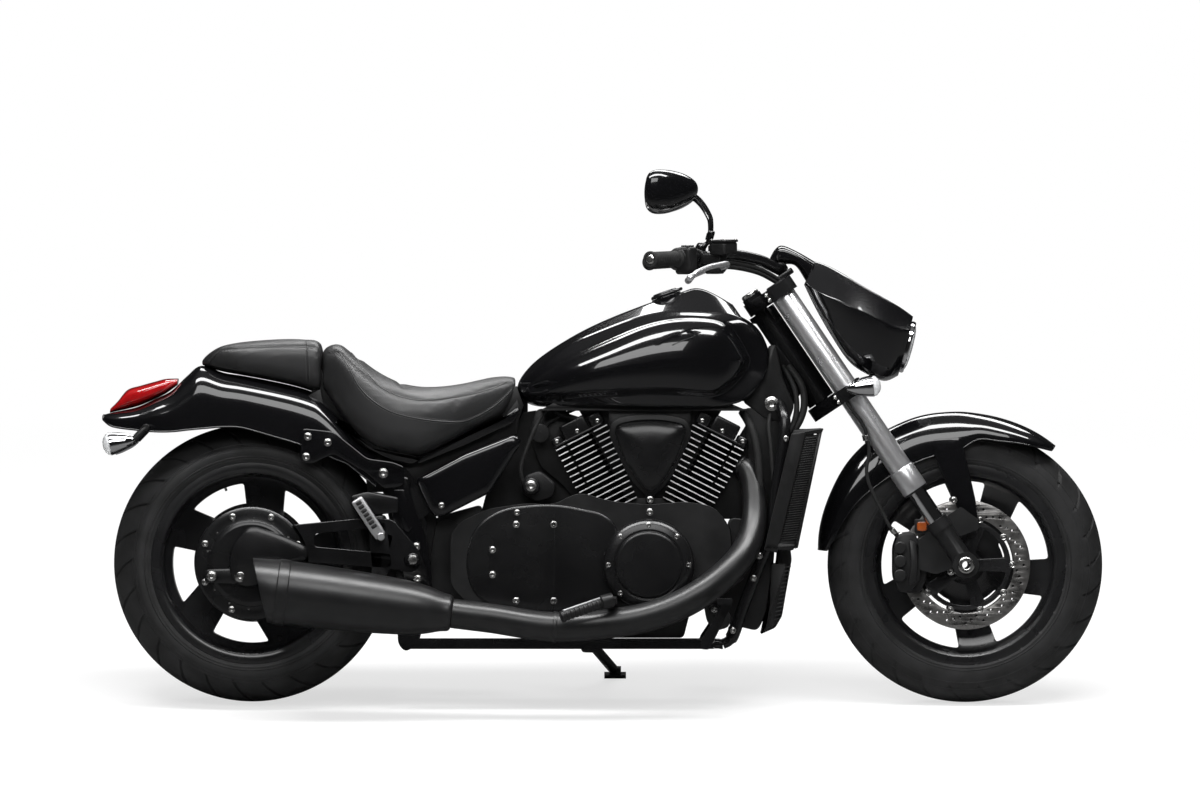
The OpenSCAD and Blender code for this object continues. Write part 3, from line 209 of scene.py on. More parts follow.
def closed_spline(p, n=6):
    m = len(p)
    return [curve_point(p[i - 1], p[i], p[(i + 1) % m], p[(i + 2) % m], k / n) for i in range(m) for k in range(n)]


def corner(a, q, b, r, n):
    """The corner q between its neighbours a and b, rounded by r or by a little less than half the shorter side."""
    q = Vector(q)
    a, b = Vector(a) - q, Vector(b) - q
    t = min(r, a.length / 2.02, b.length / 2.02)
    s, e = q + a.normalized() * t, q + b.normalized() * t
    return [tuple((1 - u) ** 2 * s + 2 * u * (1 - u) * q + u * u * e) for u in (k / n for k in range(n + 1))]


def rounded(p, r, n=8):
    """The closed outline with each of its corners rounded."""
    return [c for i in range(len(p)) for c in corner(p[i - 1], p[i], p[(i + 1) % len(p)], r, n)]


def rect(x0, x1, y0, y1):
    return [(x0, y0), (x1, y0), (x1, y1), (x0, y1)]


def arc(r, a0, a1, n, x=0.0, y=0.0):
    return [(x + r * math.cos(math.radians(a0 + (a1 - a0) * k / n)),
             y + r * math.sin(math.radians(a0 + (a1 - a0) * k / n)))
            for k in range(n + 1)]


def circle(r, n=48, x=0.0, y=0.0):
    return arc(r, 0, 360, n, x, y)[:-1]


def signed_power(v, p):
    return math.copysign(abs(v) ** p, v)


def section(s, n):
    """A body section, from its lower middle point round to its upper one and back."""
    ring = []
    for k in range(n):
        a = 2 * math.pi * (k + 0.5) / n - math.pi / 2
        up = math.sin(a)
        y = s[4] * signed_power(math.cos(a), s[6] if up > 0 else s[7])
        h = s[5] + (1 - s[5]) * up ** s[6] if up > 0 else s[5] * (1 - (-up) ** s[7])
        ring.append((s[0] + (s[2] - s[0]) * h, y, s[1] + (s[3] - s[1]) * h))
    return ring


def grid(rings, caps=True):
    """Quads through rings of points, with a cap at each end."""
    n = len(rings[0])
    verts = [p for r in rings for p in r]
    faces = []
    for j in range(len(rings) - 1):
        for i in range(n):
            a, b = j * n + i, j * n + (i + 1) % n
            faces.append((a, a + n, b + n, b))
    if caps:
        faces.append(tuple(range(n)))
        faces.append(tuple(range(len(verts) - 1, len(verts) - n - 1, -1)))
    return verts, faces


def revolve(profile, n=64):
    """A solid about Z from a half section of (radius, height), closed along the axis."""
    rings = [[(max(r, 1e-3) * math.cos(2 * math.pi * k / n), max(r, 1e-3) * math.sin(2 * math.pi * k / n), z)
              for k in range(n)] for r, z in profile]
    return grid(rings, caps=profile[0] != profile[-1])


def soft(profile, r=1.5, n=3):
    """The profile with each inner corner rounded, its ends left where they are."""
    inner = [c for a, q, b in zip(profile, profile[1:], profile[2:]) for c in corner(a, q, b, r, n)]
    return [profile[0]] + inner + [profile[-1]]


def inset(poly, d):
    m, out = len(poly), []
    for i in range(m):
        a, p, b = Vector(poly[i - 1]), Vector(poly[i]), Vector(poly[(i + 1) % m])
        u, v = (p - a), (b - p)
        if u.length < 1e-6 or v.length < 1e-6:
            w = u if u.length > v.length else v
            nrm, k = Vector((-w.y, w.x)).normalized(), 1.0
        else:
            u, v = u.normalized(), v.normalized()
            nrm = Vector((-u.y - v.y, u.x + v.x)).normalized()
            k = min(1 / max(nrm.dot(Vector((-u.y, u.x))), 0.35), 2.5)
        out.append(tuple(p + nrm * d * k))
    return out


def turns_left(poly):
    return sum(poly[i - 1][0] * poly[i][1] - poly[i][0] * poly[i - 1][1] for i in range(len(poly))) > 0


def slab(outline, h0, h1, bevel=2.0, holes=(), steps=2):
    """A plate in local X and Y between two heights, its rims rounded, with holes through it."""
    loops = [outline if turns_left(outline) else outline[::-1]]
    loops += [h[::-1] if turns_left(h) else h for h in holes]
    lo, hi = min(h0, h1), max(h0, h1)
    b = min(bevel, (hi - lo) / 2.05)
    levels = [(lo, b)] + [(lo + b - b * math.cos(math.pi / 2 * k / steps), b - b * math.sin(math.pi / 2 * k / steps))
                          for k in range(1, steps + 1)]
    levels += [(hi + lo - h, d) for h, d in levels[::-1]]
    verts, faces, ends = [], [], ([], [])
    for loop in loops:
        start, n = len(verts), len(loop)
        for h, d in levels:
            verts += [(x, y, h) for x, y in (inset(loop, d) if d > 1e-6 else loop)]
        for j in range(len(levels) - 1):
            faces += [(start + j * n + i, start + j * n + (i + 1) % n, start + (j + 1) * n + (i + 1) % n,
                       start + (j + 1) * n + i) for i in range(n)]
        ends[0].append([start + i for i in range(n)])
        ends[1].append([start + (len(levels) - 1) * n + i for i in range(n)])
    for side, e in enumerate(ends):
        flat = [i for loop in e for i in loop]
        if holes:
            tris = tessellate_polygon([[Vector((verts[i][0], verts[i][1], 0)) for i in loop] for loop in e])
            faces += [tuple(flat[i] for i in t) for t in tris]
        else:
            faces.append(tuple(flat if side else flat[::-1]))
    return verts, faces


def tube(path, r, n=20, side=(0, 1, 0)):
    rings, m = [], len(path)
    for i in range(m):
        t = (Vector(path[min(i + 1, m - 1)]) - Vector(path[max(i - 1, 0)])).normalized()
        u = (Vector(side) - t * t.dot(Vector(side))).normalized()
        v = t.cross(u)
        q = r[i] if isinstance(r, (list, tuple)) else r
        round_it = [u * math.cos(2 * math.pi * k / n) + v * math.sin(2 * math.pi * k / n) for k in range(n)]
        rings.append([tuple(Vector(path[i]) + q * w) for w in round_it])
    return grid(rings)


def axis_at(a, b):
    """Local Z along a to b, from a."""
    d = Vector(b) - Vector(a)
    return shift(*a) @ d.to_track_quat("Z", "Y").to_matrix().to_4x4()


class Piece:
    """Collects solids of one finish on one body, in millimetres of the upright machine."""

    def __init__(self, name, body, finish, slot):
        self.name, self.body, self.finish, self.slot = name, body, finish, slot
        self.bm = bmesh.new()

    def put(self, shape, at=None, sides=(1,)):
        verts, faces = shape
        for s in sides:
            own = [self.bm.verts.new((p.x, s * p.y, p.z))
                   for p in ((at @ Vector(v)) if at else Vector(v) for v in verts)]
            for f in faces:
                ring = [own[i] for i in (f if s > 0 else f[::-1])]
                if len(set(ring)) > 2:
                    try:
                        self.bm.faces.new(ring)
                    except ValueError:
                        pass
        return self

    def plate(self, outline, y0, y1, sides=(1,), bevel=2.0, holes=()):
        """A plate with an outline in X and Z, between two places across the machine."""
        return self.put(slab(outline, -max(y0, y1), -min(y0, y1), bevel, holes), ACROSS, sides)

    def disc(self, x, z, profile, y, sides=(1,), out=-1, n=64):
        """A turned piece on a cross axis: profile of (radius, distance outward from y)."""
        return self.put(revolve(profile, n), outward(x, y, z, out), sides)

    def rod(self, a, b, r, sides=(1,), n=24, end=1.5):
        h = (Vector(b) - Vector(a)).length
        return self.put(revolve(soft(rect(0, r, 0, h), end), n), axis_at(a, b), sides)

    def bolt(self, at, way, r=6, h=5, sides=(1,)):
        """A socket bolt's head on its washer."""
        prof = [(0, 0), (r * 1.45, 0), (r * 1.45, h * 0.22), (r, h * 0.26), (r, h), (r * 0.55, h), (r * 0.5, h * 0.5),
                (0, h * 0.5)]
        return self.put(revolve(soft(prof, r * 0.12, 2), 16), axis_at(at, Vector(at) + Vector(way)), sides)

    def done(self, *nodes, angle=38, merge=False):
        bm = self.bm
        if merge:
            bmesh.ops.remove_doubles(bm, verts=bm.verts, dist=0.01)
        bmesh.ops.recalc_face_normals(bm, faces=bm.faces)
        bmesh.ops.transform(bm, matrix=LEANED, verts=bm.verts)
        me = bpy.data.meshes.new(self.name)
        bm.to_mesh(me)
        bm.free()
        return dress(me, self, nodes, angle)


def dress(me, p, nodes, angle=38):
    for f in me.polygons:
        f.use_smooth = True
    me.set_sharp_from_angle(angle=math.radians(angle))
    me.materials.append(p.finish)
    o = bpy.data.objects.new(p.name, me)
    bpy.context.scene.collection.objects.link(o)
    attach(o, p.body)
    if nodes:
        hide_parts(*nodes)
    return o


# ---------------------------------------------------------------- fuel tank
# Nested outlines of the tank's right half, each point as (X, Z, distance from the middle plane): the edge of the side
# bulge, the groove round it, both edges of the rim, the edge of the spine and the middle plane.
TANK = [
    [(-187, 745, 62), (-193, 746, 58), (-199, 748, 54), (-203, 748, 46), (-206, 746, 24), (-207, 745, 0)],
    [(-147, 777, 92), (-152, 781, 84), (-161, 787, 70), (-163, 790, 62), (-168, 803, 22), (-170, 805, 0)],
    [(-88, 814, 112), (-92, 820, 100), (-92, 842, 78), (-93, 845, 70), (-90, 859, 22), (-90, 861, 0)],
    [(-8, 852, 120), (-12, 858, 108), (-8, 881, 84), (-9, 884, 76), (-8, 901, 23), (-8, 904, 0)],
    [(91, 894, 124), (90, 901, 112), (91, 916, 92), (90, 920, 84), (91, 941, 24), (91, 943.5, 0)],
    [(170, 911, 122), (171, 918, 112), (170, 926, 96), (171, 931, 88), (175, 969, 24), (176, 972, 0)],
    [(242, 911, 114), (243, 917, 106), (246, 924, 90), (247, 928, 82), (232, 983, 20), (231, 985.5, 0)],
    [(285, 900, 110), (291, 905, 102), (309, 916, 84), (311, 921, 76), (309, 943, 20), (309, 945, 0)],
    [(313, 869, 106), (321, 871, 96), (361, 885, 88), (365, 888, 82), (352, 914, 20), (352, 916, 0)],
    [(334, 834, 106), (342, 833, 94), (384, 846, 88), (389, 847, 82), (376, 878, 30), (374, 880, 0)],
    [(341, 814, 108), (349, 812, 94), (388, 814, 90), (393, 814, 84), (388, 812, 40), (386, 812, 0)],
    [(329, 788, 114), (337, 784, 98), (378, 774, 94), (382, 771, 90), (376, 774, 44), (374, 776, 0)],
    [(293, 750, 134), (299, 743, 120), (341, 731, 114), (344, 726, 110), (336, 734, 60), (334, 736, 0)],
    [(249, 735, 154), (251, 726, 142), (300, 712, 128), (302, 707, 124), (296, 707, 60), (294, 709, 0)],
    [(150, 742, 174), (150, 731, 160), (210, 706, 142), (210, 701, 138), (206, 703, 66), (204, 706, 0)],
    [(31, 739, 172), (31, 729, 158), (71, 710, 148), (71, 705, 144), (70, 707, 70), (70, 710, 0)],
    [(-88, 731, 146), (-88, 723, 134), (-48, 712, 132), (-48, 707, 128), (-50, 708, 60), (-50, 709, 0)],
    [(-171, 727, 88), (-172, 720, 82), (-150, 713, 98), (-152, 708, 94), (-160, 705, 40), (-165, 703, 0)]]
# The line along the bulge's widest part: X, Z and distance from the middle plane
TANK_CORE = [(-160, 746, 96), (-120, 757, 146), (-60, 774, 180), (20, 795, 199), (94, 808, 204), (170, 818, 201),
             (240, 820, 186), (290, 817, 160)]


def lerp(a, b, t):
    return tuple(x + (y - x) * t for x, y in zip(a, b))


def core_point(x, line):
    for a, b in zip(line, line[1:]):
        if x <= b[0]:
            return lerp(a, b, max(0, (x - a[0]) / (b[0] - a[0])))
    return line[-1]


def tank_rings(n):
    loops = [closed_spline([row[k] for row in TANK], n) for k in range(6)]
    edge = loops[0]
    core = spline(TANK_CORE, 4)
    heart = [core_point(min(max(p[0] * 0.94 + 6, -160), 290), core) for p in edge]
    rings = []
    for deg in (90, 72, 54, 38, 24, 12, 5, 0):
        s = 1 - math.cos(math.radians(deg))
        h = math.sin(math.radians(deg)) ** 0.9
        rings.append([(e[0] + (c[0] - e[0]) * s, e[1] + (c[1] - e[1]) * s, e[2] + (c[2] - e[2]) * h)
                      for e, c in zip(edge, heart)])
    for a, b, steps in ((0, 1, (0.15, 0.7, 1)), (1, 2, (0.35, 0.9, 1)), (2, 3, (0.2, 0.8, 1)),
                        (3, 4, (0.06, 0.5, 0.94)),
                        (4, 5, (0, 0.6, 1))):
        rings += [[lerp(p, q, t) for p, q in zip(loops[a], loops[b])] for t in steps]
    return [[(x, -y, z) for x, z, y in r] for r in rings]


def apply_modifiers(o):
    """The object's mesh with its modifiers made real."""
    deps = bpy.context.evaluated_depsgraph_get()
    me = bpy.data.meshes.new_from_object(o.evaluated_get(deps))
    o.modifiers.clear()
    o.data = me
    return o


def subdivide(o, levels):
    mod = o.modifiers.new("smooth", "SUBSURF")
    mod.levels = mod.render_levels = levels
    return apply_modifiers(o)


def bevelled(o, width, segments, degrees, harden=False):
    """The object with its edges sharper than the angle rounded by width millimetres."""
    mod = o.modifiers.new("round", "BEVEL")
    mod.width, mod.segments, mod.limit_method = width / 1000, segments, "ANGLE"
    mod.angle_limit, mod.harden_normals = math.radians(degrees), harden
    apply_modifiers(o)


def cut(o, *cutters):
    """Takes the cutter pieces out of the object."""
    for c in cutters:
        mod = o.modifiers.new("cut", "BOOLEAN")
        mod.operation, mod.solver, mod.object = "DIFFERENCE", "EXACT", c
    apply_modifiers(o)
    for c in cutters:
        bpy.data.objects.remove(c)


def sharpen(o, angle):
    for f in o.data.polygons:
        f.use_smooth = True
    o.data.set_sharp_from_angle(angle=math.radians(angle))


def cutter(shape, at=None):
    p = Piece("cutter", "chassis", PAINT, "gloss_black").put(shape, at)
    bmesh.ops.recalc_face_normals(p.bm, faces=p.bm.faces)
    bmesh.ops.transform(p.bm, matrix=LEANED, verts=p.bm.verts)
    me = bpy.data.meshes.new("cutter")
    p.bm.to_mesh(me)
    p.bm.free()
    o = bpy.data.objects.new("cutter", me)
    bpy.context.scene.collection.objects.link(o)
    return o


def box(x0, x1, y0, y1, z0, z1):
    return slab(rect(x0, x1, y0, y1), z0, z1, 0)


FILLER = shift(150, 0, 963) @ turn("Y", -19)


def make_tank():
    p = Piece("fuel_tank_shell", "chassis", PAINT, "gloss_black")
    p.put(grid(tank_rings(3), caps=False), sides=SIDES)
    bmesh.ops.remove_doubles(p.bm, verts=p.bm.verts, dist=0.05)
    o = subdivide(p.done("fuel_tank"), 2)
    # Room for the steering head
    cut(o, cutter(box(-FORK_OFFSET - 47, 75, -68, 68, 480, 880), FORK))
    sharpen(o, 40)
    c = Piece("fuel_cap_lid", "fuel_cap", FRAME_PAINT, "brushed")
    lid = [(0, 4.4), (36, 4.4), (36, 9), (33, 12), (29, 12.4), (28, 14.6), (24, 15.2), (10, 15.6), (0, 15.7)]
    c.put(revolve(soft(lid, 1), 72), FILLER)
    c.put(revolve(soft(rect(0, 24, 1, 4.6), 1), 48), FILLER)
    c.put(revolve(soft(rect(0, 4, 0, 28), 1), 24), FILLER @ shift(39, 14, 8.4) @ turn("X", 90))
    c.put(slab(rounded(rect(30, 39, -9, 9), 2), 4.4, 11.4, 1), FILLER)
    c.done("fuel_cap")
    r = Piece("filler_ring", "chassis", PAINT, "gloss_black")
    r.put(revolve(soft([(27, -14), (36, -14), (36, 3), (34, 4), (30, 4), (30, 0), (27, 0), (27, -14)], 0.8), 72),
          FILLER)
    r.done()


# ---------------------------------------------------------------- seats
RIDER = [
    (-667, 737, -665, 840, 116, 0.5, 0.5, 0.5), (-660, 733, -656, 847, 122, 0.5, 0.5, 0.5),
    (-630, 688, -625, 850, 146, 0.5, 0.5, 0.5),
    (-595, 642, -594, 824, 166, 0.5, 0.5, 0.45), (-541, 605, -541, 784, 182, 0.45, 0.55, 0.4),
    (-489, 591, -489, 758, 190, 0.45, 0.6, 0.4), (-440, 585, -439, 747, 192, 0.5, 0.6, 0.4),
    (-390, 603, -387, 747, 184, 0.5, 0.6, 0.4), (-334, 630, -334, 754, 164, 0.5, 0.6, 0.45),
    (-282, 656, -284, 765, 138, 0.5, 0.6, 0.5), (-241, 674, -238, 774, 114, 0.5, 0.6, 0.55),
    (-211.2, 726, -209.6, 772, 92, 0.5, 0.6, 0.6)]
PILLION = [
    (-956, 803, -955, 813, 60, 0.5, 0.5, 0.5), (-936, 795, -934, 832, 86, 0.5, 0.5, 0.5),
    (-905, 786, -906, 848, 104, 0.5, 0.5, 0.5), (-858, 777.5, -858, 854, 117, 0.5, 0.5, 0.5),
    (-796, 766, -796, 859, 124, 0.5, 0.5, 0.5), (-737, 753, -737, 862, 127, 0.5, 0.5, 0.5),
    (-694, 740, -694, 862, 126, 0.5, 0.5, 0.5), (-678, 734, -677, 859, 124, 0.5, 0.5, 0.5),
    (-671, 737, -671, 852, 117, 0.5, 0.5, 0.5)]
# Seams as seen from the side, in X and Z: where the top panel meets the side panel, and the rim of the seating hollow
RIDER_SEAM = [(-652, 832), (-632, 835), (-610, 808), (-580, 752), (-545, 716), (-500, 690), (-440, 675), (-380, 668),
              (-330, 668), (-280, 690), (-240, 720), (-216, 745)]
RIDER_RIDGE = [(-612, 846), (-590, 818), (-556, 778), (-520, 744), (-470, 724), (-420, 718), (-360, 724), (-300, 736),
               (-255, 750), (-230, 762)]
PILLION_SEAM = [(-938, 806), (-905, 838), (-860, 843), (-780, 846), (-720, 845), (-690, 842)]
UPRIGHT = LEANED.inverted()


def soft_body(name, stations, node, seams, push):
    """An upholstered cushion: the panels swell between their seams under cloth pressure."""
    p = Piece(name, "chassis", LEATHER, "seat_leather")
    p.put(grid([section(s, 40) for s in spline(stations, 4)]))
    o = p.done(node, angle=180)
    mod = o.modifiers.new("even", "REMESH")
    mod.mode, mod.voxel_size = "VOXEL", 0.0078
    apply_modifiers(o)
    rest = [v.co.copy() for v in o.data.vertices]
    # Held at the seams and underneath, where the cover is stapled to its base
    hold = o.vertex_groups.new(name="held")
    for v in o.data.vertices:
        q = UPRIGHT @ v.co
        near = min(min(math.hypot(q.x - x, q.z - z) for x, z in line) for line in seams)
        low = 1.0 if v.normal.z < -0.35 else 0.0
        w = max(low, 1 - near / 10 if near < 10 else 0)
        if w > 0:
            hold.add([v.index], min(1, w), "REPLACE")
    m = o.modifiers.new("cloth", "CLOTH")
    m.settings.use_pressure = True
    m.settings.uniform_pressure_force = 3
    m.settings.vertex_group_mass = "held"
    m.settings.quality = 4
    m.settings.mass = 0.4
    m.settings.tension_stiffness = m.settings.compression_stiffness = 25
    m.settings.bending_stiffness = 2
    m.settings.effector_weights.gravity = 0
    m.point_cache.frame_start, m.point_cache.frame_end = 1, 20
    scene = bpy.context.scene
    for f in range(1, 21):
        scene.frame_set(f)
    deps = bpy.context.evaluated_depsgraph_get()
    moved = [v.co.copy() for v in o.evaluated_get(deps).to_mesh().vertices]
    o.modifiers.clear()
    scene.frame_set(1)
    for v, a, b in zip(o.data.vertices, rest, moved):
        d = b - a
        v.co = a + (d if d.length < push else d.normalized() * push)
    subdivide(o, 1)
    return o


def tree_of(o):
    return BVHTree.FromPolygons([v.co for v in o.data.vertices], [f.vertices for f in o.data.polygons])


def hug(o, line, sign):
    """The side-view line laid on the object's side: (point, normal) in millimetres of the upright machine."""
    tree, hits = tree_of(o), []
    for x, z in spline(line, 8):
        start = LEANED @ Vector((x, sign * 500, z))
        way = (LEANED.to_3x3() @ Vector((0, -sign, 0))).normalized()
        at, normal = tree.ray_cast(start, way)[:2]
        if at:
            hits.append((UPRIGHT @ at, (UPRIGHT.to_3x3() @ normal).normalized()))
    return hits


def seam(piece, hits, r=2.0):
    """A sewn edge: a thin welt that follows the surface."""
    if len(hits) > 3:
        piece.put(tube([tuple(p - n * r * 0.3) for p, n in hits], r, 8, tuple(hits[0][1])))


def stitches(piece, hits, offset, pitch=6.0, length=4.0, r=0.7):
    """A row of single stitches beside the seam."""
    run, travelled = 0.0, 0.0
    for (a, na), (b, nb) in zip(hits, hits[1:]):
        step = (b - a).length
        if step < 1e-6:
            continue
        way = (b - a) / step
        while run <= travelled + step:
            t = (run - travelled) / step
            n = na.lerp(nb, t).normalized()
            side = way.cross(n).normalized()
            c = a.lerp(b, t) + side * offset + n * 0.1
            p, q = c - way * length / 2, c + way * length / 2
            verts = [tuple(p - n * 0.6), tuple(q - n * 0.6)]
            for e in (p + way * 0.8, q - way * 0.8):
                verts += [tuple(e + d * r) for d in (side, n, -side, -n)]
            faces = [(0, 2 + k, 2 + (k + 1) % 4) for k in range(4)] + [(1, 6 + (k + 1) % 4, 6 + k) for k in range(4)]
            faces += [(2 + k, 6 + k, 6 + (k + 1) % 4, 2 + (k + 1) % 4) for k in range(4)]
            piece.put((verts, faces))
            run += pitch
        travelled += step


def make_seats():
    rider = soft_body("rider_seat", RIDER, "rider_seat", [RIDER_SEAM, RIDER_RIDGE], 0.004)
    pillion = soft_body("pillion_seat", PILLION, "pillion_seat", [PILLION_SEAM, [(-704, 862), (-700, 760)]],
                        0.004)
    welts = Piece("seat_seams", "chassis", LEATHER, "seat_leather")
    thread = Piece("seat_stitching", "chassis", THREAD, "seat_leather")
    for o, line, rows in ((rider, RIDER_SEAM, (-4, 4)), (rider, RIDER_RIDGE, ()), (pillion, PILLION_SEAM, (-4,)),
                          (pillion, [(-704, 858), (-703, 830), (-702, 800), (-701, 760)], (-4, 4))):
        for s in SIDES:
            hits = hug(o, line, s)
            seam(welts, hits)
            for off in rows:
                stitches(thread, hits, off)
    welts.done()
    thread.done()


# ---------------------------------------------------------------- painted panels
def bent_sheet(outer, inner):
    """A bent sheet of even thickness from rings of outer and inner points."""
    rings = [list(o) + list(i)[::-1] for o, i in zip(outer, inner)]
    n = len(rings[0])
    verts, faces = grid(rings, caps=False)
    w = n // 2
    for e, flip in ((0, False), ((len(rings) - 1) * n, True)):
        for i in range(w - 1):
            f = (e + i, e + i + 1, e + n - 2 - i, e + n - 1 - i)
            faces.append(f[::-1] if flip else f)
    return verts, faces


FRONT_ARC = [
    (174, 352, 20, 58), (166, 357, 40, 66), (152, 363, 62, 72), (139, 371, 86, 74), (127, 374, 98, 74),
    (117, 371, 99, 74), (107, 370, 99, 76), (97, 366, 96, 77.5), (91, 364, 84, 78.6), (84, 361, 60, 82),
    (74, 359, 52, 87), (63, 358, 36, 84), (57, 357, 24, 74), (53, 356, 14, 58)]
REAR_LINE = [
    (-1188, 684, 672, 96), (-1165, 690, 656, 116), (-1110, 702, 648, 130), (-1065, 722, 644, 137),
    (-1027, 741, 644, 141), (-990, 776, 648, 143), (-956, 800.5, 651, 145), (-905, 784, 655, 146),
    (-858, 776.5, 653, 147), (-796, 765, 636, 147), (-737, 752, 619, 147), (-694, 739, 604, 147),
    (-672, 727, 596, 147), (-640, 696, 580, 147), (-612, 661, 569, 147), (-590, 633, 553, 147),
    (-560, 610, 530, 147), (-540, 600, 514, 147)]


def make_fenders():
    def front_ring(s, wall, span=28):
        out = []
        for k in range(-span, span + 1):
            u = k / span
            y = (s[3] - wall) * math.sin(math.pi / 2 * u)
            q = s[1] - wall - s[2] * (1 - math.cos(math.pi / 2 * u) ** 0.8 if abs(u) < 1 else 1)
            a = math.radians(s[0])
            out.append((AXLE_X + q * math.cos(a), y, FRONT_Z + q * math.sin(a)))
        return out
    p = Piece("front_fender", "steering", PAINT, "gloss_black")
    arch = spline(FRONT_ARC, 8)
    p.put(bent_sheet([front_ring(s, 0) for s in arch], [front_ring(s, 3) for s in arch]))
    p.done("front_fender")
    # A rolled lip along the rim of the sheet
    lip = Piece("front_fender_lip", "steering", PAINT, "gloss_black")
    for side in SIDES:
        lip.put(tube([front_ring(s, 1.5)[0 if side < 0 else -1] for s in arch], 2.2, 10))
    for s in (arch[0], arch[-1]):
        lip.put(tube(front_ring(s, 1.5), 2.2, 10, (1, 0, 0)))
    lip.done()
    stay = Piece("front_fender_stays", "steering", PAINT, "satin_black")
    stay.plate(rounded([(784, 626), (784, 586), (832, 480), (862, 412), (892, 414), (884, 480), (856, 604), (848, 630)],
                       8),
               79, 86, SIDES, 3.4)
    stay.done("fender_stays")

    def rear_ring(s, wall, span=34):
        out = []
        for k in range(-span, span + 1):
            a = math.pi / 2 * k / span
            c = max(math.cos(a), 0)
            out.append((s[0], (s[3] - wall) * signed_power(math.sin(a), 0.5), s[2] + (s[1] - wall - s[2]) * c ** 0.5))
        return out
    p = Piece("rear_fender", "chassis", PAINT, "gloss_black")
    line = spline(REAR_LINE, 5)
    p.put(bent_sheet([rear_ring(s, 0) for s in line], [rear_ring(s, 3) for s in line]))
    p.done("rear_fender")
    lip = Piece("rear_fender_lip", "chassis", PAINT, "gloss_black")
    for side in (0, -1):
        lip.put(tube([rear_ring(s, 1.5)[side] for s in line], 2.4, 10))
    lip.put(tube(rear_ring(line[0], 1.5), 2.4, 10, (1, 0, 0)))
    lip.done()
    arm = Piece("rear_fender_brackets", "chassis", PAINT, "gloss_black")
    arm.plate(rounded([(-470, 560), (-500, 572), (-560, 580), (-640, 644), (-715, 652), (-720, 572), (-690, 568),
                       (-640, 592), (-560, 545), (-520, 508), (-474, 516)], 12), 145, 153, SIDES, 2,
              [circle(4.25, 24, -522, 545)])
    arm.done()


def domed(outline, mid, steps):
    """An outline in X and Z drawn in about its middle, for each (share of its size, distance outward)."""
    return grid([[(mid[0] + (x - mid[0]) * s, -y, mid[1] + (z - mid[1]) * s) for x, z in outline] for s, y in steps])


def make_side_panels():
    p = Piece("side_panels", "chassis", PAINT, "gloss_black")
    line = rounded([(-445, 531), (-330, 592), (-209, 639), (-192, 622), (-234, 554), (-268, 499), (-387, 439),
                    (-409, 448), (-434, 503)], 12)
    p.put(domed(line, (-320, 536), ((0.985, 140), (1.0, 143), (1.0, 154), (0.985, 158), (0.955, 161), (0.90, 164),
                                    (0.80, 166), (0.6, 167.4), (0.3, 168))), sides=SIDES)
    p.done("side_panels", angle=50)


def make_cowl():
    # Lower and upper middle points in X and Z, half width, and how far up the crease lies
    stations = [(478, 993, 503, 1048, 112, 0.1), (505, 937, 528, 1040, 142, 0.36), (541, 874, 565, 1021, 160, 0.55),
                (583, 812, 610, 993, 163, 0.67), (625, 781, 660, 965, 156, 0.7), (668, 764, 705, 939, 138, 0.71),
                (700, 776, 736, 917, 113, 0.76)]

    def facets(s):
        x0, z0, x1, z1, w, c = s
        half = [(0, 0), (0.3, 0.003), (0.5, 0.02), (0.68, 0.08), (0.84, 0.26), (0.95, 0.62), (0.99, 0.92), (1, 0.985),
                (0.992, 1.02)]
        side = [(a, b * c) for a, b in half] + [(0.98, c + 0.03 * (1 - c)), (0.7, c + 0.56 * (1 - c)), (0.46, 0.97),
                                                (0.43, 0.99),
                                                (0.40, 1.0), (0.2, 1.004), (0, 1.005)]
        ring = [(w * a, h) for a, h in side] + [(-w * a, h) for a, h in side[-2:0:-1]]
        return [(x0 + (x1 - x0) * h, y, z0 + (z1 - z0) * h) for y, h in ring]
    p = Piece("headlamp_cowl", "steering", PAINT, "gloss_black")
    p.put(grid([facets(s) for s in spline(stations, 6)]))
    o = p.done("headlamp_cowl", angle=24)
    bevelled(o, 3, 3, 24)
    sharpen(o, 40)
    v = Piece("instrument_visor", "steering", PAINT, "black_plastic")
    v.put(grid([section(s, 72) for s in spline([
        (392, 1044, 394, 1052, 50, 0.5, 0.6, 0.6), (410, 1043, 408, 1077, 70, 0.5, 0.5, 0.5),
        (430, 1042, 426, 1086, 77, 0.5, 0.5, 0.5), (457, 1038, 464, 1070, 78, 0.5, 0.5, 0.5),
        (481.6, 1002, 502, 1048, 76, 0.5, 0.5, 0.5)], 6)]))
    v.done("instruments", angle=50)
    lens_at = shift(718.6, 0, 846) @ turn("Y", 15)

    def lens_ring(x, q, n=72):
        return [(x, q * 92 * signed_power(math.cos(2 * math.pi * k / n), 0.75),
                 q * 61 * signed_power(math.sin(2 * math.pi * k / n), 0.8)) for k in range(n)]
    rim = Piece("headlamp_rim", "steering", CHROME, "chrome")
    rim.put(grid([lens_ring(x, q) for x,
                  q in ((-4, 1.0), (4, 1.03), (8, 1.02), (10, 0.99), (9, 0.95), (4, 0.92), (-4, 0.90))],
                 caps=False), lens_at)
    rim.done()
    bowl = Piece("headlamp_reflector", "steering", CHROME, "chrome")
    bowl.put(grid([lens_ring(x, q) for x, q in ((5, 0.92), (1.6, 0.86), (1.2, 0.4), (1.6, 0.2))]), lens_at)
    bowl.done()
    lens = Piece("headlamp_lens", "steering", CLEAR, "clear_lens")
    lens.put(grid([lens_ring(x, q) for x,
                   q in ((5.5, 0.93), (8, 0.92), (12, 0.84), (14.6, 0.7), (16, 0.5), (16.8, 0.25),
                                               (17, 0.05))]), lens_at)
    lens.done("headlamp_lens", angle=60)


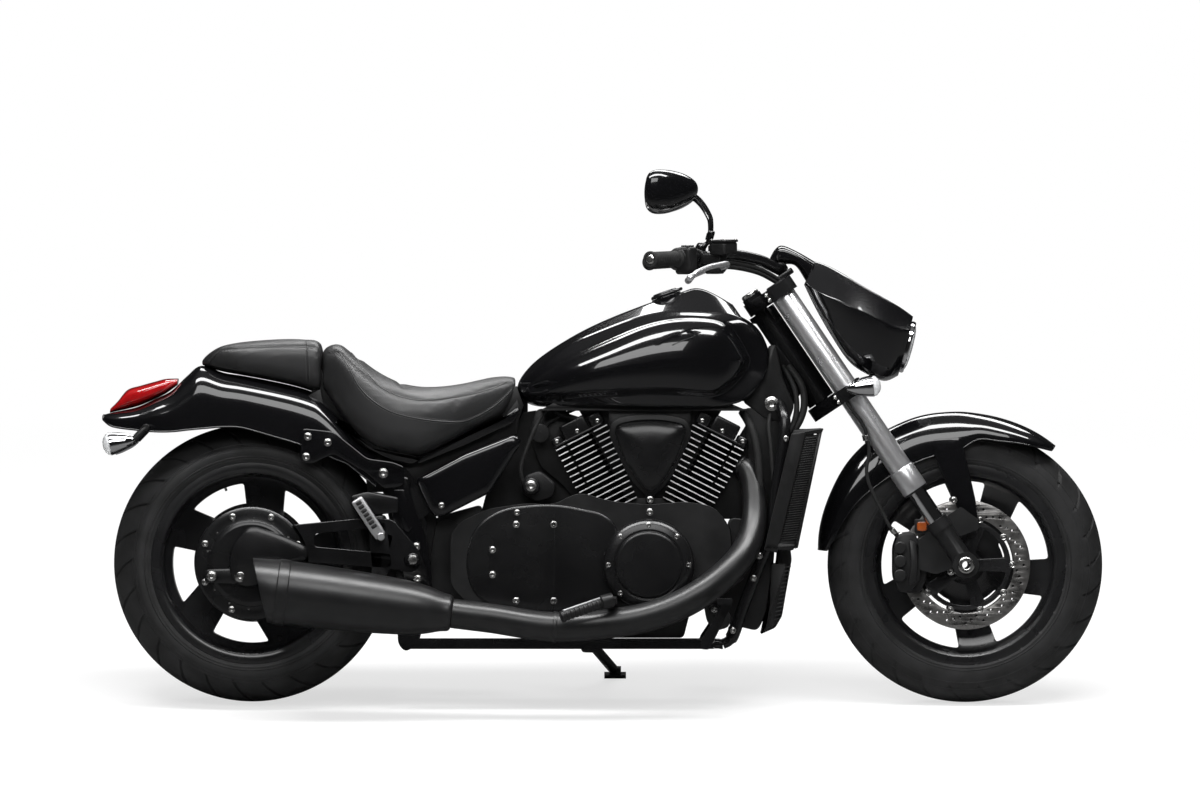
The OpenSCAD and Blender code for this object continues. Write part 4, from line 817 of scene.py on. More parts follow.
def make_tail():
    p = Piece("tail_lamp", "chassis", RED, "red_lens")
    p.put(grid([section(s, 48) for s in spline([
        (-1174, 688.4, -1172, 699, 50, 0.5, 0.6, 0.6), (-1160, 691.6, -1155, 716, 62, 0.5, 0.6, 0.6),
        (-1132, 697.7, -1132, 743, 72, 0.5, 0.6, 0.6), (-1101, 706.5, -1101, 753, 78, 0.5, 0.6, 0.6),
        (-1065, 722.5, -1065, 763, 80, 0.5, 0.6, 0.6), (-1041, 734.5, -1041, 769, 78, 0.5, 0.6, 0.6),
        (-1014, 754, -1012, 770, 66, 0.5, 0.6, 0.6)], 6)]))
    p.done("tail_lamp", angle=50)
    bullet = soft([(0, 0), (8, 4), (17, 20), (25, 48), (27, 62)], 14, 6) + [(27.4, 63), (25, 64)]
    glass = [(25, 63.5), (25.5, 66), (24, 70), (16, 76.5), (8, 79.4), (0, 80)]
    rear = shift(-1108, -176, 625) @ turn("Y", -100)
    front = shift(572, -184, 745) @ turn("Y", 84)
    for name, body, at, scale, boss in (
            ("rear_signal", "chassis", rear, (1, 1), ((-1085, -134.4, 654), (-1085, -178, 654))),
            ("front_signal", "steering", front, (0.94, 1.07), ((592, -144.2, 738), (592, -178, 738)))):
        cup = Piece(name + "_cups", body, CHROME, "chrome")
        cup.put(revolve([(r * scale[0], h * scale[1]) for r, h in bullet], 48), at, SIDES)
        cup.done()
        eye = Piece(name + "_lenses", body, CLEAR, "clear_lens")
        eye.put(revolve([(r * scale[0], h * scale[1]) for r, h in glass], 48), at, SIDES)
        eye.done()
        arm = Piece(name + "_stems", body, PLASTIC, "black_plastic")
        arm.rod(*boss, 8, SIDES)
        if name == "rear_signal":
            arm.rod((-1085, -170, 654), (-1114, -176, 624), 8, SIDES)
        arm.done(name + "s")


# ---------------------------------------------------------------- wheels
def softened(node, body, finish, slot, width, angle=35):
    """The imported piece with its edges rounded."""
    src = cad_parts[node]
    bm = bmesh.new()
    bm.from_mesh(src.data)
    bmesh.ops.transform(bm, matrix=src.matrix_world, verts=bm.verts)
    bmesh.ops.remove_doubles(bm, verts=bm.verts, dist=1e-5)
    bmesh.ops.dissolve_limit(bm, angle_limit=math.radians(1), verts=bm.verts, edges=bm.edges)
    me = bpy.data.meshes.new(node + "_soft")
    bm.to_mesh(me)
    bm.free()
    me.materials.clear()
    bevelled(dress(me, Piece(me.name, body, finish, slot), (node,), angle), width, 2, angle, harden=True)


def make_tyre(name, body, at, half, sipes, sweep, inner, outer, depth, ribs):
    """A carcass with curved grooves cut in each half of its tread, staggered from side to side."""
    across = [(r, -y) for r, y in half[::-1]] + half[1:]
    stations = []
    for k in range(2 * sipes):
        base, side = 180 / sipes * k, 1 if k % 2 else -1
        stations += [(base + f * 360 / sipes, side, d) for f,
                     d in ((0, 0), (0.025, 1), (0.10, 1), (0.125, 0), (0.2, 0), (0.3, 0),
                                                                  (0.4, 0))]
    rings = []
    for angle, side, d in stations + [stations[0]]:
        ring = []
        for r, y in across:
            a = math.radians(angle - sweep * min(abs(y) / outer, 1) ** 1.5)
            g = depth * d * max(0, min(1, (abs(y) - inner) / 4, (outer - abs(y)) / 4)) if y * side > 0 else 0
            ring.append(((r - g) * math.cos(a), (r - g) * math.sin(a), y))
        rings.append(ring)
    p = Piece(name, body, RUBBER, "tyre_rubber")
    p.put(grid(rings, caps=False), at)
    p.done(name, angle=50, merge=True)
    # Moulded rings round each sidewall
    p = Piece(name + "_rings", body, RUBBER, "tyre_rubber")
    for r, y, q in ribs:
        for s in SIDES:
            p.put(revolve([(r + q * math.cos(math.pi / 4 * k), s * y + q * math.sin(math.pi / 4 * k))
                           for k in range(9)], 120), at)
    p.done()


def spoke_window(r0, r1, half0, half1, skew):
    return rounded(arc(r1, skew - half1, skew + half1, 10) + arc(r0, half0, -half0, 4), 14, 5)


def make_rim(name, body, at, half, windows, valve):
    """A cast wheel turned from one profile, the openings between its spokes cut out and their rims rounded."""
    p = Piece(name, body, WHEEL, "case_black")
    p.put(revolve(half + [half[0]], 144), at)
    o = p.done(name, merge=True)
    cut(o, *[cutter(slab(w, -170, 170, 0), at @ turn("Z", a)) for a, w in windows])
    bevelled(o, 3, 3, 32)
    sharpen(o, 40)
    v = Piece(name + "_valve", body, BOLT, "case_black")
    v.put(revolve(soft([(0, 0), (4.5, 0), (4.5, 8), (3, 10), (3, 26), (0, 26)], 1), 16), at @ turn("Z", valve)
          @ shift(208, 0, 4)
          @ turn("Y", -90))
    v.done()


def brake_disc(band, carrier, drops, at, r, hub, count, sides):
    holes = [circle(r - 39, 96)]
    for k in range(60):
        q, a = r - 8 - 7.5 * (k % 3 + 1), math.radians(6 * k)
        holes.append(circle(3.2, 10, q * math.cos(a), q * math.sin(a)))
    band.put(slab(circle(r, 120), 0, 5, 0.5, holes), at, sides)
    windows = [[tuple(turn("Z", 72 * k + 36) @ Vector((x, y, 0)))[:2] for x,
                y in spoke_window(hub + 14, r - 57, 10, 26, 0)]
               for k in range(5)]
    carrier.put(slab(circle(r - 46, 96), 0.4, 5, 0.8, windows + [circle(hub, 48)]), at, sides)
    for k in range(count):
        place = at @ turn("Z", 360 / count * k)
        carrier.put(slab(rounded([(r - 50, -9), (r - 40, -10), (r - 36, 0), (r - 40, 10), (r - 50, 9)], 4), 0.5, 5.2,
                         0.8),
                    place, sides)
        drops.put(revolve(soft([(0, 6.4), (3, 6.4), (3.4, 5.4), (5, 5.4), (6, 6.8), (7.6, 6.4), (8, 5), (8, 0)], 0.5,
                               2), 20),
                  place @ shift(r - 42, 0, 0), sides)


def make_wheels():
    front = [(262 + 65 * math.cos(math.radians(t)), 65 * math.sin(math.radians(t))) for t in range(0, 85, 6)]
    front += [(257, 65), (250, 63.6), (246, 62.2), (244.5, 62.6), (242.5, 60.6), (237, 56.5), (231, 53), (229, 50)]
    make_tyre("front_tyre", "front_wheel", FRONT_WHEEL, front, 26, 9, 9, 60, 5.5,
              ((296, 54.8, 1.2), (280, 62, 0.9), (251, 63.8, 1.6)))
    rear = [(180 + 150 * math.cos(math.radians(t)), 150 * math.sin(math.radians(t))) for t in range(0, 49, 3)]
    rear += [(276.5, 114.6), (272.5, 118), (267, 119.6), (259, 119.4), (252, 117.6), (249, 116.4), (247.5, 116.8),
             (245, 114.8),
             (238, 110.5), (231, 107), (229, 103)]
    make_tyre("rear_tyre", "rear_wheel", REAR_WHEEL, rear, 26, 10, 16, 111, 6,
              ((283, 108.8, 1.2), (275, 116, 1), (254, 118.2, 1.8)))
    left = [(12.6, -60), (34, -60), (36.5, -57), (40, -40), (46, -27), (60, -21.5), (100, -20), (150, -20.5),
            (190, -27),
            (205, -36), (209, -44), (212, -54), (219, -59), (228, -59.5), (238, -58.5), (241, -56), (240.5, -54),
            (236, -53),
            (230, -52), (224, -44), (221, -20)]
    make_rim("front_rim", "front_wheel", FRONT_WHEEL, left + [(r, -z) for r, z in left[::-1]],
             [(72 * (k + 0.25), spoke_window(92, 199, 13, 23, 9)) for k in range(5)], 270)
    flange = [(190, -50), (205, -62), (209, -80), (211, -98), (214, -108), (221, -113), (229, -113.5), (238, -112.5),
              (241, -110),
              (240.5, -108), (236, -107), (230, -106), (224, -98), (221, -60)]
    left = [(14.1, -108), (60, -108), (63, -104), (70, -40), (90, -32), (150, -30)] + flange
    right = [(r, -z) for r, z in flange[::-1]] + [(150, 30), (96, 34), (84, 42), (71, 119), (67, 122), (14.1, 122)]
    make_rim("rear_rim", "rear_wheel", REAR_WHEEL, left + right,
             [(72 * (k + 0.5), spoke_window(104, 190, 12, 21, 9)) for k in range(5)], 110)
    for name, body, at, r, hub, count, sides in (
            ("front_disc", "front_wheel", FRONT_WHEEL @ shift(0, 0, 60), 154, 16.5, 10, SIDES),
            ("rear_disc", "rear_wheel", REAR_WHEEL @ turn("X", 180) @ shift(0, 0, 108), 142, 30, 8, (1,))):
        band = Piece(name + "_bands", body, DISC, "disc_steel")
        carrier = Piece(name + "_carriers", body, WHEEL, "disc_steel")
        drops = Piece(name + "_bobbins", body, BOLT, "disc_steel")
        brake_disc(band, carrier, drops, at, r, hub, count, sides)
        band.done("front_discs" if name == "front_disc" else "rear_disc")
        for k in range(5):
            drops.put(revolve(soft([(0, 0), (8, 0), (8, 4.5), (4, 4.5), (3.6, 2.4), (0, 2.4)], 0.8, 2), 20),
                      at @ turn("Z", 72 * k) @ shift(hub + 8 if name == "front_disc" else 44, 0, 4.6), sides)
        carrier.done()
        drops.done()


# ---------------------------------------------------------------- engine
def make_cylinders():
    core = Piece("cylinder_barrels", "chassis", CAST, "fin_metal")
    edge = Piece("cylinder_fin_edges", "chassis", MACHINED, "fin_metal")
    head = Piece("rocker_covers", "chassis", COVER, "case_black")
    screw = Piece("rocker_bolts", "chassis", BOLT, "case_black")
    for s in SIDES:
        at = cylinder_at(s)
        # Places across a cylinder run from the outer side of the V to its inner side
        core.put(revolve(soft(rect(0, 54, 120, 371), 2), 48), at)
        for k in range(14):
            h = 180.5 + 14.2 * k
            wide = 57 + 0.9 * k
            spans = [(-60, wide)] if k < 6 else [(-64, -38), (-33, 24), (36, wide + 4)]
            x0, x1 = s * 62, -s * (wide - 1)
            line = rounded([(min(x0, x1), -98), (max(x0, x1), -98), (max(x0, x1), 98), (min(x0, x1), 98)], 20, 4)
            core.put(slab(line, h - 1.5, h + 1.5, 0.6, steps=1), at)
            for l0, l1 in spans:
                a, b = sorted((-s * l0, -s * l1))
                for y in SIDES:
                    q = sorted((y * 90, y * 103.4))
                    core.put(slab([(a, q[0]), (b, q[0]), (b, q[1]), (a, q[1])], h - 1.5, h + 1.5, 0.4, steps=1), at)
                    q = sorted((y * 103.2, y * 104.4))
                    edge.put(slab([(a + 0.6, q[0]), (b - 0.6, q[0]), (b - 0.6, q[1]), (a + 0.6, q[1])], h - 1.35,
                                  h + 1.35, 0.3,
                                  steps=1), at)
        for l0, l1, h0, h1, y in ((-66, 66, 370, 378, 100), (-64, -36, 374, 394, 101), (-33, 34, 374, 413, 101),
                                  (37, 72, 374, 405, 101)):
            a, b = sorted((-s * l0, -s * l1))
            head.put(slab(rounded(rect(a, b, -y, y), 9, 4), h0, h1, 5, steps=4), at)
        for l in (-52, 2, 56):
            for y in SIDES:
                screw.bolt(tuple(at @ Vector((-s * l, y * 100.6, 384))), (0, y, 0), 3.6, 3)
    core.done("cylinders")
    edge.done()
    head.done("head_covers")
    screw.done()


def make_intake():
    line = closed_spline([(27, 645), (36, 661), (70, 670), (111, 673), (152, 670), (187, 661), (196, 645), (190, 622),
                          (174, 580),
                        (150, 538), (128, 510), (111, 502), (95, 510), (73, 538), (48, 580), (32, 622)])
    p = Piece("v_cover", "chassis", COVER, "case_black")
    p.put(domed(line, (111, 604), ((0.985, 108), (0.99, 120), (1.0, 124), (1.0, 127), (0.99, 130), (0.96, 133),
                                   (0.88, 137.5), (0.74, 142), (0.56, 145), (0.36, 147), (0.16, 148), (0.02, 148))),
          sides=SIDES)
    p.done("intake_cover", angle=60)
    back = Piece("intake_body", "chassis", CAST, "case_black")
    back.plate([(12, 664), (12, 697), (208, 697), (208, 664), (122, 496), (118, 474), (102, 474), (98, 496)], -104, 104,
               bevel=3)
    back.plate(rect(-148, 338, 693, 698), -119, 119, bevel=1)
    back.plate(closed_spline([(14, 645), (26, 672), (70, 684), (111, 686), (152, 684), (196, 672), (208, 645),
                              (200, 615),
                            (160, 535), (128, 498), (111, 490), (95, 498), (62, 535), (22, 615)], 4), 96, 109, SIDES, 4)
    back.done()
    b = Piece("intake_bolts", "chassis", BOLT, "case_black")
    for s in SIDES:
        b.bolt((111, s * 106, 482), (0, s, 0), 6, 5)
        b.bolt((110, s * 150, 453), (0, s, 0), 6, 5)
    b.done()


def make_cases():
    softened("crankcase", "chassis", CAST, "case_black", 5)
    softened("front_cover", "chassis", CAST, "case_black", 6)
    softened("battery_box", "chassis", PLASTIC, "black_plastic", 3)
    p = Piece("round_covers", "chassis", COVER, "case_black")
    ring = soft([(0, 56), (74, 56), (77.5, 54.6), (79.5, 50.5), (81.5, 50.5), (84, 52.6), (98, 48), (105, 43),
                 (108, 36), (109, 0)],
                2, 3)
    p.disc(107, 328, ring, -150)
    p.disc(107, 328, [(r * 0.96, h * 0.99) for r, h in ring], 150, out=1)
    p.done("engine_covers", angle=30)
    cover = Piece("gear_cover", "chassis", COVER, "case_black")
    line = rounded([(-277, 330), (-262, 404), (-200, 439), (-70, 439), (2, 400), (2, 262), (-50, 239), (-200, 239),
                    (-268, 268)],
                   44, 8)
    swell = rounded([(-330, 330), (-312, 416), (-244, 464), (-120, 476), (0, 452), (34, 420), (34, 250), (-20, 216),
                     (-240, 212),
                     (-312, 256)], 52, 8)
    nose = rounded([(-114, 416), (-66, 412), (-30, 388), (-18, 350), (-18, 305), (-32, 270), (-66, 252), (-114, 250)],
                   26, 6)
    cover.put(slab(line, 149, 178, 18, steps=7), ACROSS)
    cover.put(slab(swell, 139, 154, 14, steps=6), ACROSS)
    cover.put(slab(nose, 160, 196, 17, steps=6), ACROSS)
    cover.put(slab([(x * 0.98 - 8, z) for x, z in line], -149, -178, 18, steps=7), ACROSS)
    o = cover.done(angle=42)
    cut(o, cutter(slab(rect(-118, -116.2, 220, 450), 173, 210, 0), ACROSS))
    sharpen(o, 42)
    seat = Piece("cover_bosses", "chassis", COVER, "case_black")
    b = Piece("cover_bolts", "chassis", BOLT, "case_black")
    for k in range(8):
        a = math.radians(45 * k)
        for s in SIDES:
            b.bolt((107 + 94 * math.cos(a), s * 197, 328 + 94 * math.sin(a)), (0, s, 0), 5.4, 4.5)
    for x, z in ((-207, 424), (-118, 424), (-207, 243), (-118, 243), (-263, 364), (-263, 305)):
        for s in SIDES:
            seat.disc(x, z, soft([(0, 30), (10, 30), (11.5, 28), (12, 0)], 1.5), s * 150, out=-s, n=28)
            b.bolt((x, s * 179.6, z), (0, s, 0), 5.8, 4.5)
    seat.done()
    b.done()
    # Throttle linkage behind the rear cylinder and the rear brake's master cylinder
    t = Piece("linkage_castings", "chassis", CAST, "case_black")
    t.plate(rounded([(-196, 500), (-186, 540), (-150, 552), (-112, 520), (-120, 488), (-160, 476)], 12), -96, -44,
            bevel=5)
    t.disc(-172, 515, soft([(0, 26), (12, 26), (20, 22), (22, 0)], 3), -94, n=36)
    t.plate(rounded([(236, 240), (260, 250), (282, 240), (304, 204), (296, 180), (262, 170), (244, 196)], 9), -186,
            -150, bevel=5)
    t.disc(262, 222, soft([(0, 12), (10, 12), (14, 0)], 2), -184, n=32)
    t.rod((268, -168, 250), (330, -150, 300), 5)
    t.done()
    h = Piece("linkage_bolts", "chassis", BOLT, "case_black")
    h.bolt((-172, -119.6, 515), (0, -1, 0), 9, 6)
    h.bolt((262, -195.8, 222), (0, -1, 0), 5, 4)
    h.bolt((-205, -170.2, 452), (0, -1, 0), 5, 4)
    h.done()


def make_radiator():
    def lean(u, z):
        """A place on the leaning core: u forward of its rear edge at the height z."""
        return (380 + (z - 364) * 0.237 + u, z)
    p = Piece("radiator_frame", "chassis", PLASTIC, "case_black")
    p.plate(rounded([lean(0, 364), lean(34, 356), lean(34, 645), lean(0, 640)], 5), 156, 164, SIDES, 2.5)
    p.plate(rounded([lean(0, 634), lean(72, 640), lean(74, 652), lean(4, 648)], 4), 150, 162, SIDES, 3)
    p.plate(rounded([lean(0, 364), lean(70, 362), lean(74, 376), lean(2, 382)], 5), 150, 164, SIDES, 3)
    p.plate([lean(14, 372), lean(10, 640), lean(24, 640), lean(28, 372)], -156, 156, bevel=1.5)
    p.plate([lean(20, 376), lean(72, 376), lean(68, 636), lean(20, 636)], -154, 154, bevel=1)
    p.plate(rounded([lean(72, 366), lean(80, 368), lean(72, 646), lean(64, 646)], 2), 150, 160, SIDES, 2)
    for z0, z1, u in ((364, 384, 70), (632, 650, 54)):
        p.plate([lean(16, z0), lean(u, z0), lean(u, z1), lean(14, z1)], -156, 156, bevel=3)
    p.plate(rounded([(414, 372), (444, 366), (447, 340), (424, 206), (408, 178), (372, 162), (392, 206), (411, 340)],
                    6),
            -104, 104, bevel=4)
    # The lower tank's side, with its drain boss
    p.plate(rounded([(398, 330), (436, 330), (428, 240), (408, 186), (384, 172), (394, 230)], 8), 104, 112, SIDES, 3)
    p.done("radiator")
    r = Piece("radiator_ribs", "chassis", DARK_STEEL, "case_black")
    for k in range(44):
        z = 385 + 5.6 * k
        a, b = lean(30, z), lean(75 - 0.16 * k, z + 5)
        rib = [a, b, (b[0], b[1] + 1.8), (a[0], a[1] + 1.8)]
        r.plate(rib, -158, 158, bevel=0.6)
    for k in range(14):
        z = 196 + 9.5 * k
        a = 404 + (z - 190) * 0.2
        r.plate([(a, z), (a + 15, z + 3), (a + 15, z + 6), (a, z + 3)], 100, 114.5, SIDES, 0.6)
    for k in range(9):
        y = -140 + 35 * k
        r.plate([lean(58, 386), lean(63, 386), lean(63, 630), lean(58, 630)], y - 1, y + 1, bevel=0.3)
    r.done()


def make_inner():
    """Dark covers, mounts and leads that close the view between the engine, the frame and the seats."""
    p = Piece("inner_covers", "chassis", PLASTIC, "black_plastic")
    p.plate([(-146, 697), (334, 697), (300, 711), (-120, 711)], -112, 112, bevel=1)
    p.plate([(-60, 697), (-40, 664), (66, 462), (156, 462), (262, 664), (282, 697)], -84, 84)
    p.plate([(54, 440), (54, 486), (168, 486), (168, 440)], -92, 92)
    p.plate(rounded([(236, 436), (236, 480), (290, 580), (346, 670), (356, 436)], 8), -64, 64)
    p.plate(rounded([(334, 700), (410, 700), (432, 640), (418, 480), (396, 400), (372, 396), (352, 440), (346, 560)],
                    14), -70, 70)
    p.plate(rounded([(-60, 474), (-100, 520), (-150, 560), (-178, 640), (-160, 698), (-90, 698), (-60, 640), (20, 500)],
                    14), -60, 60)
    # Under the rider's seat, down to the frame rails and back to the fender
    p.plate([(-672, 745), (-664, 700), (-596, 634), (-541, 598), (-489, 584), (-440, 580), (-392, 596), (-334, 624),
             (-282, 650),
             (-236, 676), (-205, 720), (-196, 700), (-206, 640), (-300, 590), (-420, 520), (-470, 500), (-520, 520),
             (-570, 590),
             (-640, 650), (-700, 730)], -112, 112, bevel=2)
    p.plate([(-470, 470), (-520, 520), (-505, 400), (-486, 290), (-420, 270), (-412, 330), (-396, 430), (-420, 520)],
            -104, 104,
            bevel=4)
    p.plate(rounded([(-290, 470), (-400, 440), (-418, 330), (-400, 216), (-330, 200), (-270, 300)], 14), -96, 96)
    # Intake side of the rear cylinder, and the leads along the frame
    p.rod((-150, -70, 640), (-150, -96, 640), 22)
    p.rod((-118, -60, 690), (-60, -96, 672), 7)
    p.plate([(-694, 736), (-684, 790), (-652, 790), (-600, 700), (-598, 646), (-652, 676)], -96, 96)
    p.plate([(-262, 690), (-238, 742), (-206, 752), (-190, 706), (-204, 664)], -92, 92)
    p.plate([(-540, 286), (-540, 336), (-476, 336), (-476, 286)], -50, 50)
    p.plate([(-566, 548), (-560, 500), (-470, 500), (-462, 566), (-520, 580)], -112, 112)
    # The gussets between the tank's front and the down tubes
    p.plate(rounded([(330, 716), (376, 762), (392, 846), (410, 852), (426, 772), (454, 706), (440, 666), (388, 672)],
                    12), 34, 76,
            SIDES, 5)
    p.done()
    q = Piece("seat_side_covers", "chassis", PAINT, "gloss_black")
    q.plate(rounded([(-636, 672), (-560, 604), (-500, 572), (-452, 566), (-430, 580), (-489, 592), (-541, 606),
                     (-595, 643)], 6),
            112, 136, SIDES, 6)
    q.plate(rounded([(-440, 566), (-330, 610), (-214, 664), (-196, 696), (-206, 702), (-240, 676), (-334, 632),
                     (-400, 604),
                     (-446, 588)], 6), 112, 134, SIDES, 5)
    # The plates over the swingarm's pivot, with a panel raised on each
    q.plate(rounded([(-522, 540), (-462, 536), (-446, 470), (-416, 372), (-406, 288), (-416, 266), (-470, 268),
                     (-480, 340),
                     (-500, 440)], 10), 130, 140, SIDES, 3.5)
    q.plate(rounded([(-498, 506), (-472, 506), (-452, 420), (-462, 404), (-478, 412)], 6), 139, 142, SIDES, 1.4)
    q.done()
    w = Piece("engine_leads", "chassis", GRIP, "grip_rubber")
    for path, r in ((((-130, -62, 700), (-150, -88, 676), (-176, -98, 620), (-196, -100, 560), (-190, -96, 520)), 5),
                    (((330, -60, 690), (352, -92, 650), (366, -104, 590), (372, -106, 500), (384, -100, 420)), 9),
                    (((400, -52, 700), (392, -96, 660), (398, -110, 600), (404, -112, 520)), 5),
                    (((440, -40, 800), (470, -56, 756), (478, -60, 712), (470, -64, 676), (452, -68, 644)), 8),
                    (((426, -40, 800), (452, -60, 752), (460, -66, 706), (454, -70, 668), (440, -76, 640)), 6),
                    (((-60, -40, 700), (-96, -66, 684), (-132, -74, 664), (-150, -94, 640)), 4)):
        for s in SIDES:
            w.put(tube([(x, -s * y, z) for x, y, z in spline(path, 6)], r, 14, (0.3, 0.2, 1)))
    w.done()


def make_exhaust():
    low, end = Vector((-358, 214)), Vector((-813, 271))
    way = (low - end).normalized()
    tail = [(low.x + k * way.x, 245, low.y + k * way.y) for k in (96, 48, 0)]
    right = spline([(x, -y, z) for x, y, z in [
        (324, 66, 563), (343, 78, 548), (356, 98, 500), (358, 126, 440), (346, 160, 386), (312, 200, 330),
        (236, 236, 265),
        (146, 245, 219), (39, 245, 193), (-115, 245, 182)] + tail], 10)
    left = spline([(-104, 70, 562), (-130, 92, 548), (-170, 142, 530), (-206, 196, 486), (-222, 228, 410),
                   (-208, 242, 320),
                   (-206, 245, 250)] + tail, 10)
    p = Piece("exhaust_pipes", "chassis", SATIN, "satin_black")
    p.put(tube(right, [25 + 10 * min(1, k / 60) for k in range(len(right))], 40))
    p.put(tube(left, [25 + 10 * min(1, k / 46) for k in range(len(left))], 40))
    p.done("exhaust_pipes")
    ring = Piece("exhaust_clamps", "chassis", SATIN, "satin_black")
    for line, k, r in ((right, 90, 35), (right, 3, 25.4), (left, 3, 25.6), (left, 60, 35)):
        at = axis_at(line[k], line[k + 1])
        ring.put(revolve([(r - 1, -5), (r + 1.2, -5), (r + 2, -3.5), (r + 2, 3.5), (r + 1.2, 5), (r - 1, 5),
                          (r - 1, -5)], 48), at)
    ring.done()
    d = end - low
    l = d.length
    m = Piece("mufflers", "chassis", SATIN, "satin_black")
    prof = soft([(0, 0.3), (43, 0.3), (45, 22), (57, 60), (64, 100), (70, 180), (75, 300), (75.8, 392)], 30, 4)
    prof += [(77.6, 393.2), (78, 395), (78, 415), (77.6, 417), (75.8, 418.2)]
    prof += soft([(75.6, 424), (70.5, l + 42), (63, l + 42), (58, l - 30), (0, l - 30)], 1.5, 3)
    at = shift(low.x, 245, low.y) @ turn("Y", -90 + math.degrees(math.atan2(d.y, -d.x)))
    m.put(revolve(prof, 96), at, SIDES)
    o = m.done("mufflers", merge=True)
    blade = at @ shift(0, 0, l) @ turn("Y", -20)
    other = Matrix.Diagonal((1, -1, 1, 1)) @ blade
    cut(o, cutter(box(-120, 120, -120, 120, 0, 140), blade), cutter(box(-120, 120, -120, 120, 0, 140), other))
    bevelled(o, 1.8, 2, 50)
    sharpen(o, 35)
    hang = Piece("muffler_hangers", "chassis", FRAME_PAINT, "satin_black")
    hang.plate(rounded([(-560, 440), (-520, 446), (-500, 330), (-520, 290), (-548, 290)], 12), 150, 160, SIDES, 2)
    hang.done()


# ---------------------------------------------------------------- frame, drive and controls at the feet
def make_chassis():
    for node, finish, slot, w in (
            ("head_tube", FRAME_PAINT, "satin_black", 3), ("upper_frame", FRAME_PAINT, "satin_black", 3),
            ("lower_frame", FRAME_PAINT, "satin_black", 2.5), ("swingarm", FRAME_PAINT, "satin_black", 4),
            ("rear_caliper", CAST, "case_black", 4), ("foot_levers", FRAME_PAINT, "satin_black", 1.5)):
        softened(node, "chassis", finish, slot, w)
    p = Piece("down_tubes", "chassis", FRAME_PAINT, "satin_black")
    line = spline([(414, 36.3, 714), (414, 46, 714), (414, 58, 714), (424, 96, 694), (430, 118, 650), (412, 118, 520),
                   (396, 118, 400), (366, 118, 318), (330, 118, 224), (306, 118, 156), (286, 118, 139.2),
                   (274, 118, 139.2),
                   (262.4, 118, 139.2)], 8)
    p.put(tube(line, [10.5 if q[2] < 150 else 14 for q in line], 28, (1, 0, 0.3)), sides=SIDES)
    p.done("down_tubes")
    bolts = Piece("frame_bolts", "chassis", BOLT, "satin_black")
    pads = Piece("frame_lugs", "chassis", FRAME_PAINT, "satin_black")
    for s in SIDES:
        bolts.bolt((400, s * 76, 710), (0, s, 0), 12, 7)
        for x, z, y in ((432, 627, 132), (370, 349, 132), (356, 296, 132), (307, 172, 131), (256, 148, 131)):
            pads.disc(x, z, soft([(0, 10), (8, 10), (9.5, 8), (10, 0)], 1), s * (y - 10), out=-s, n=24)
            bolts.bolt((x, s * y, z), (0, s, 0), 5.2, 4.5)
        bolts.bolt((-492, s * 140, 524), (0, s, 0), 6, 5)
        bolts.bolt((-522, s * 153, 545), (0, s, 0), 8, 4)
        for x, z in ((-701, 632), (-654, 618), (-705, 584)):
            bolts.bolt((x, s * 153, z), (0, s, 0), 6.5, 5)
        for x, z in ((-444, 371), (-441, 294)):
            bolts.bolt((x, s * 140, z), (0, s, 0), 6.5, 5)
        bolts.bolt((-384, s * 167.6, 469), (0, s, 0), 5, 3)
        # The swingarm's pivot bolt and the rear axle's nut
        pads.disc(-452, 340, soft([(0, 8), (20, 8), (22, 5), (22, 0)], 1.5), s * 160, out=-s, n=40)
        bolts.put(slab(circle(12, 6), 0, 8, 1), outward(-452, s * 166, 340, s))
    bolts.put(slab(circle(15, 6), 0, 8, 1), outward(REAR_X, 164, REAR_Z, 1))
    bolts.done()
    pads.done()
    d = Piece("final_drive", "chassis", COVER, "case_black")
    prof = [(0, 34), (24, 34), (30, 33), (34, 30), (36, 25.5), (60, 27.5), (92, 27), (101, 23.5), (103, 19.4),
            (118, 18.6),
            (129, 17.5), (134, 14.5), (135, 11), (135, 0), (0, 0)]
    d.disc(REAR_X, REAR_Z, soft(prof, 1.2, 2), -128, n=120)
    d.done("final_drive", angle=30)
    # The bevel housing's neck toward the swingarm, raised from the cover
    n = Piece("bevel_housing", "chassis", COVER, "case_black")
    n.plate(rounded([(-890, 300), (-884, 372), (-840, 424), (-770, 402), (-700, 372), (-700, 336), (-770, 318),
                     (-800, 286), (-850, 270)],
                    26), -146, -172, bevel=12)
    n.plate(rounded([(-946, 318), (-860, 320), (-836, 300), (-860, 282), (-946, 284)], 15), -150, -165, bevel=5)
    for s0, r0 in ((-929, 15), (-861, 17)):
        n.disc(s0, 301, soft([(0, 20), (r0 - 3, 20), (r0, 17), (r0, 0)], 1.5), -150, n=36)
    n.done()
    b = Piece("final_drive_bolts", "chassis", BOLT, "case_black")
    for k in range(8):
        a = math.radians(45 * k + 22)
        b.bolt((REAR_X + 119 * math.cos(a), -146.4, REAR_Z + 119 * math.sin(a)), (0, -1, 0), 5.5, 4.5)
    b.bolt((-929, -170, 301), (0, -1, 0), 8, 6)
    b.bolt((-861, -170, 301), (0, -1, 0), 9.5, 7)
    for k in range(14):
        a = math.radians(25.7 * k + 10)
        b.disc(REAR_X + 108 * math.cos(a), REAR_Z + 108 * math.sin(a), [(0, 1.2), (2.6, 1.2), (3, 0)], -146.4, n=12)
    b.done()
    c = Piece("rear_caliper_details", "chassis", BOLT, "case_black")
    for x, z in ((-750, 262), (-702, 262)):
        c.bolt((x, 134, z), (0, 1, 0), 6, 5)
    c.done()


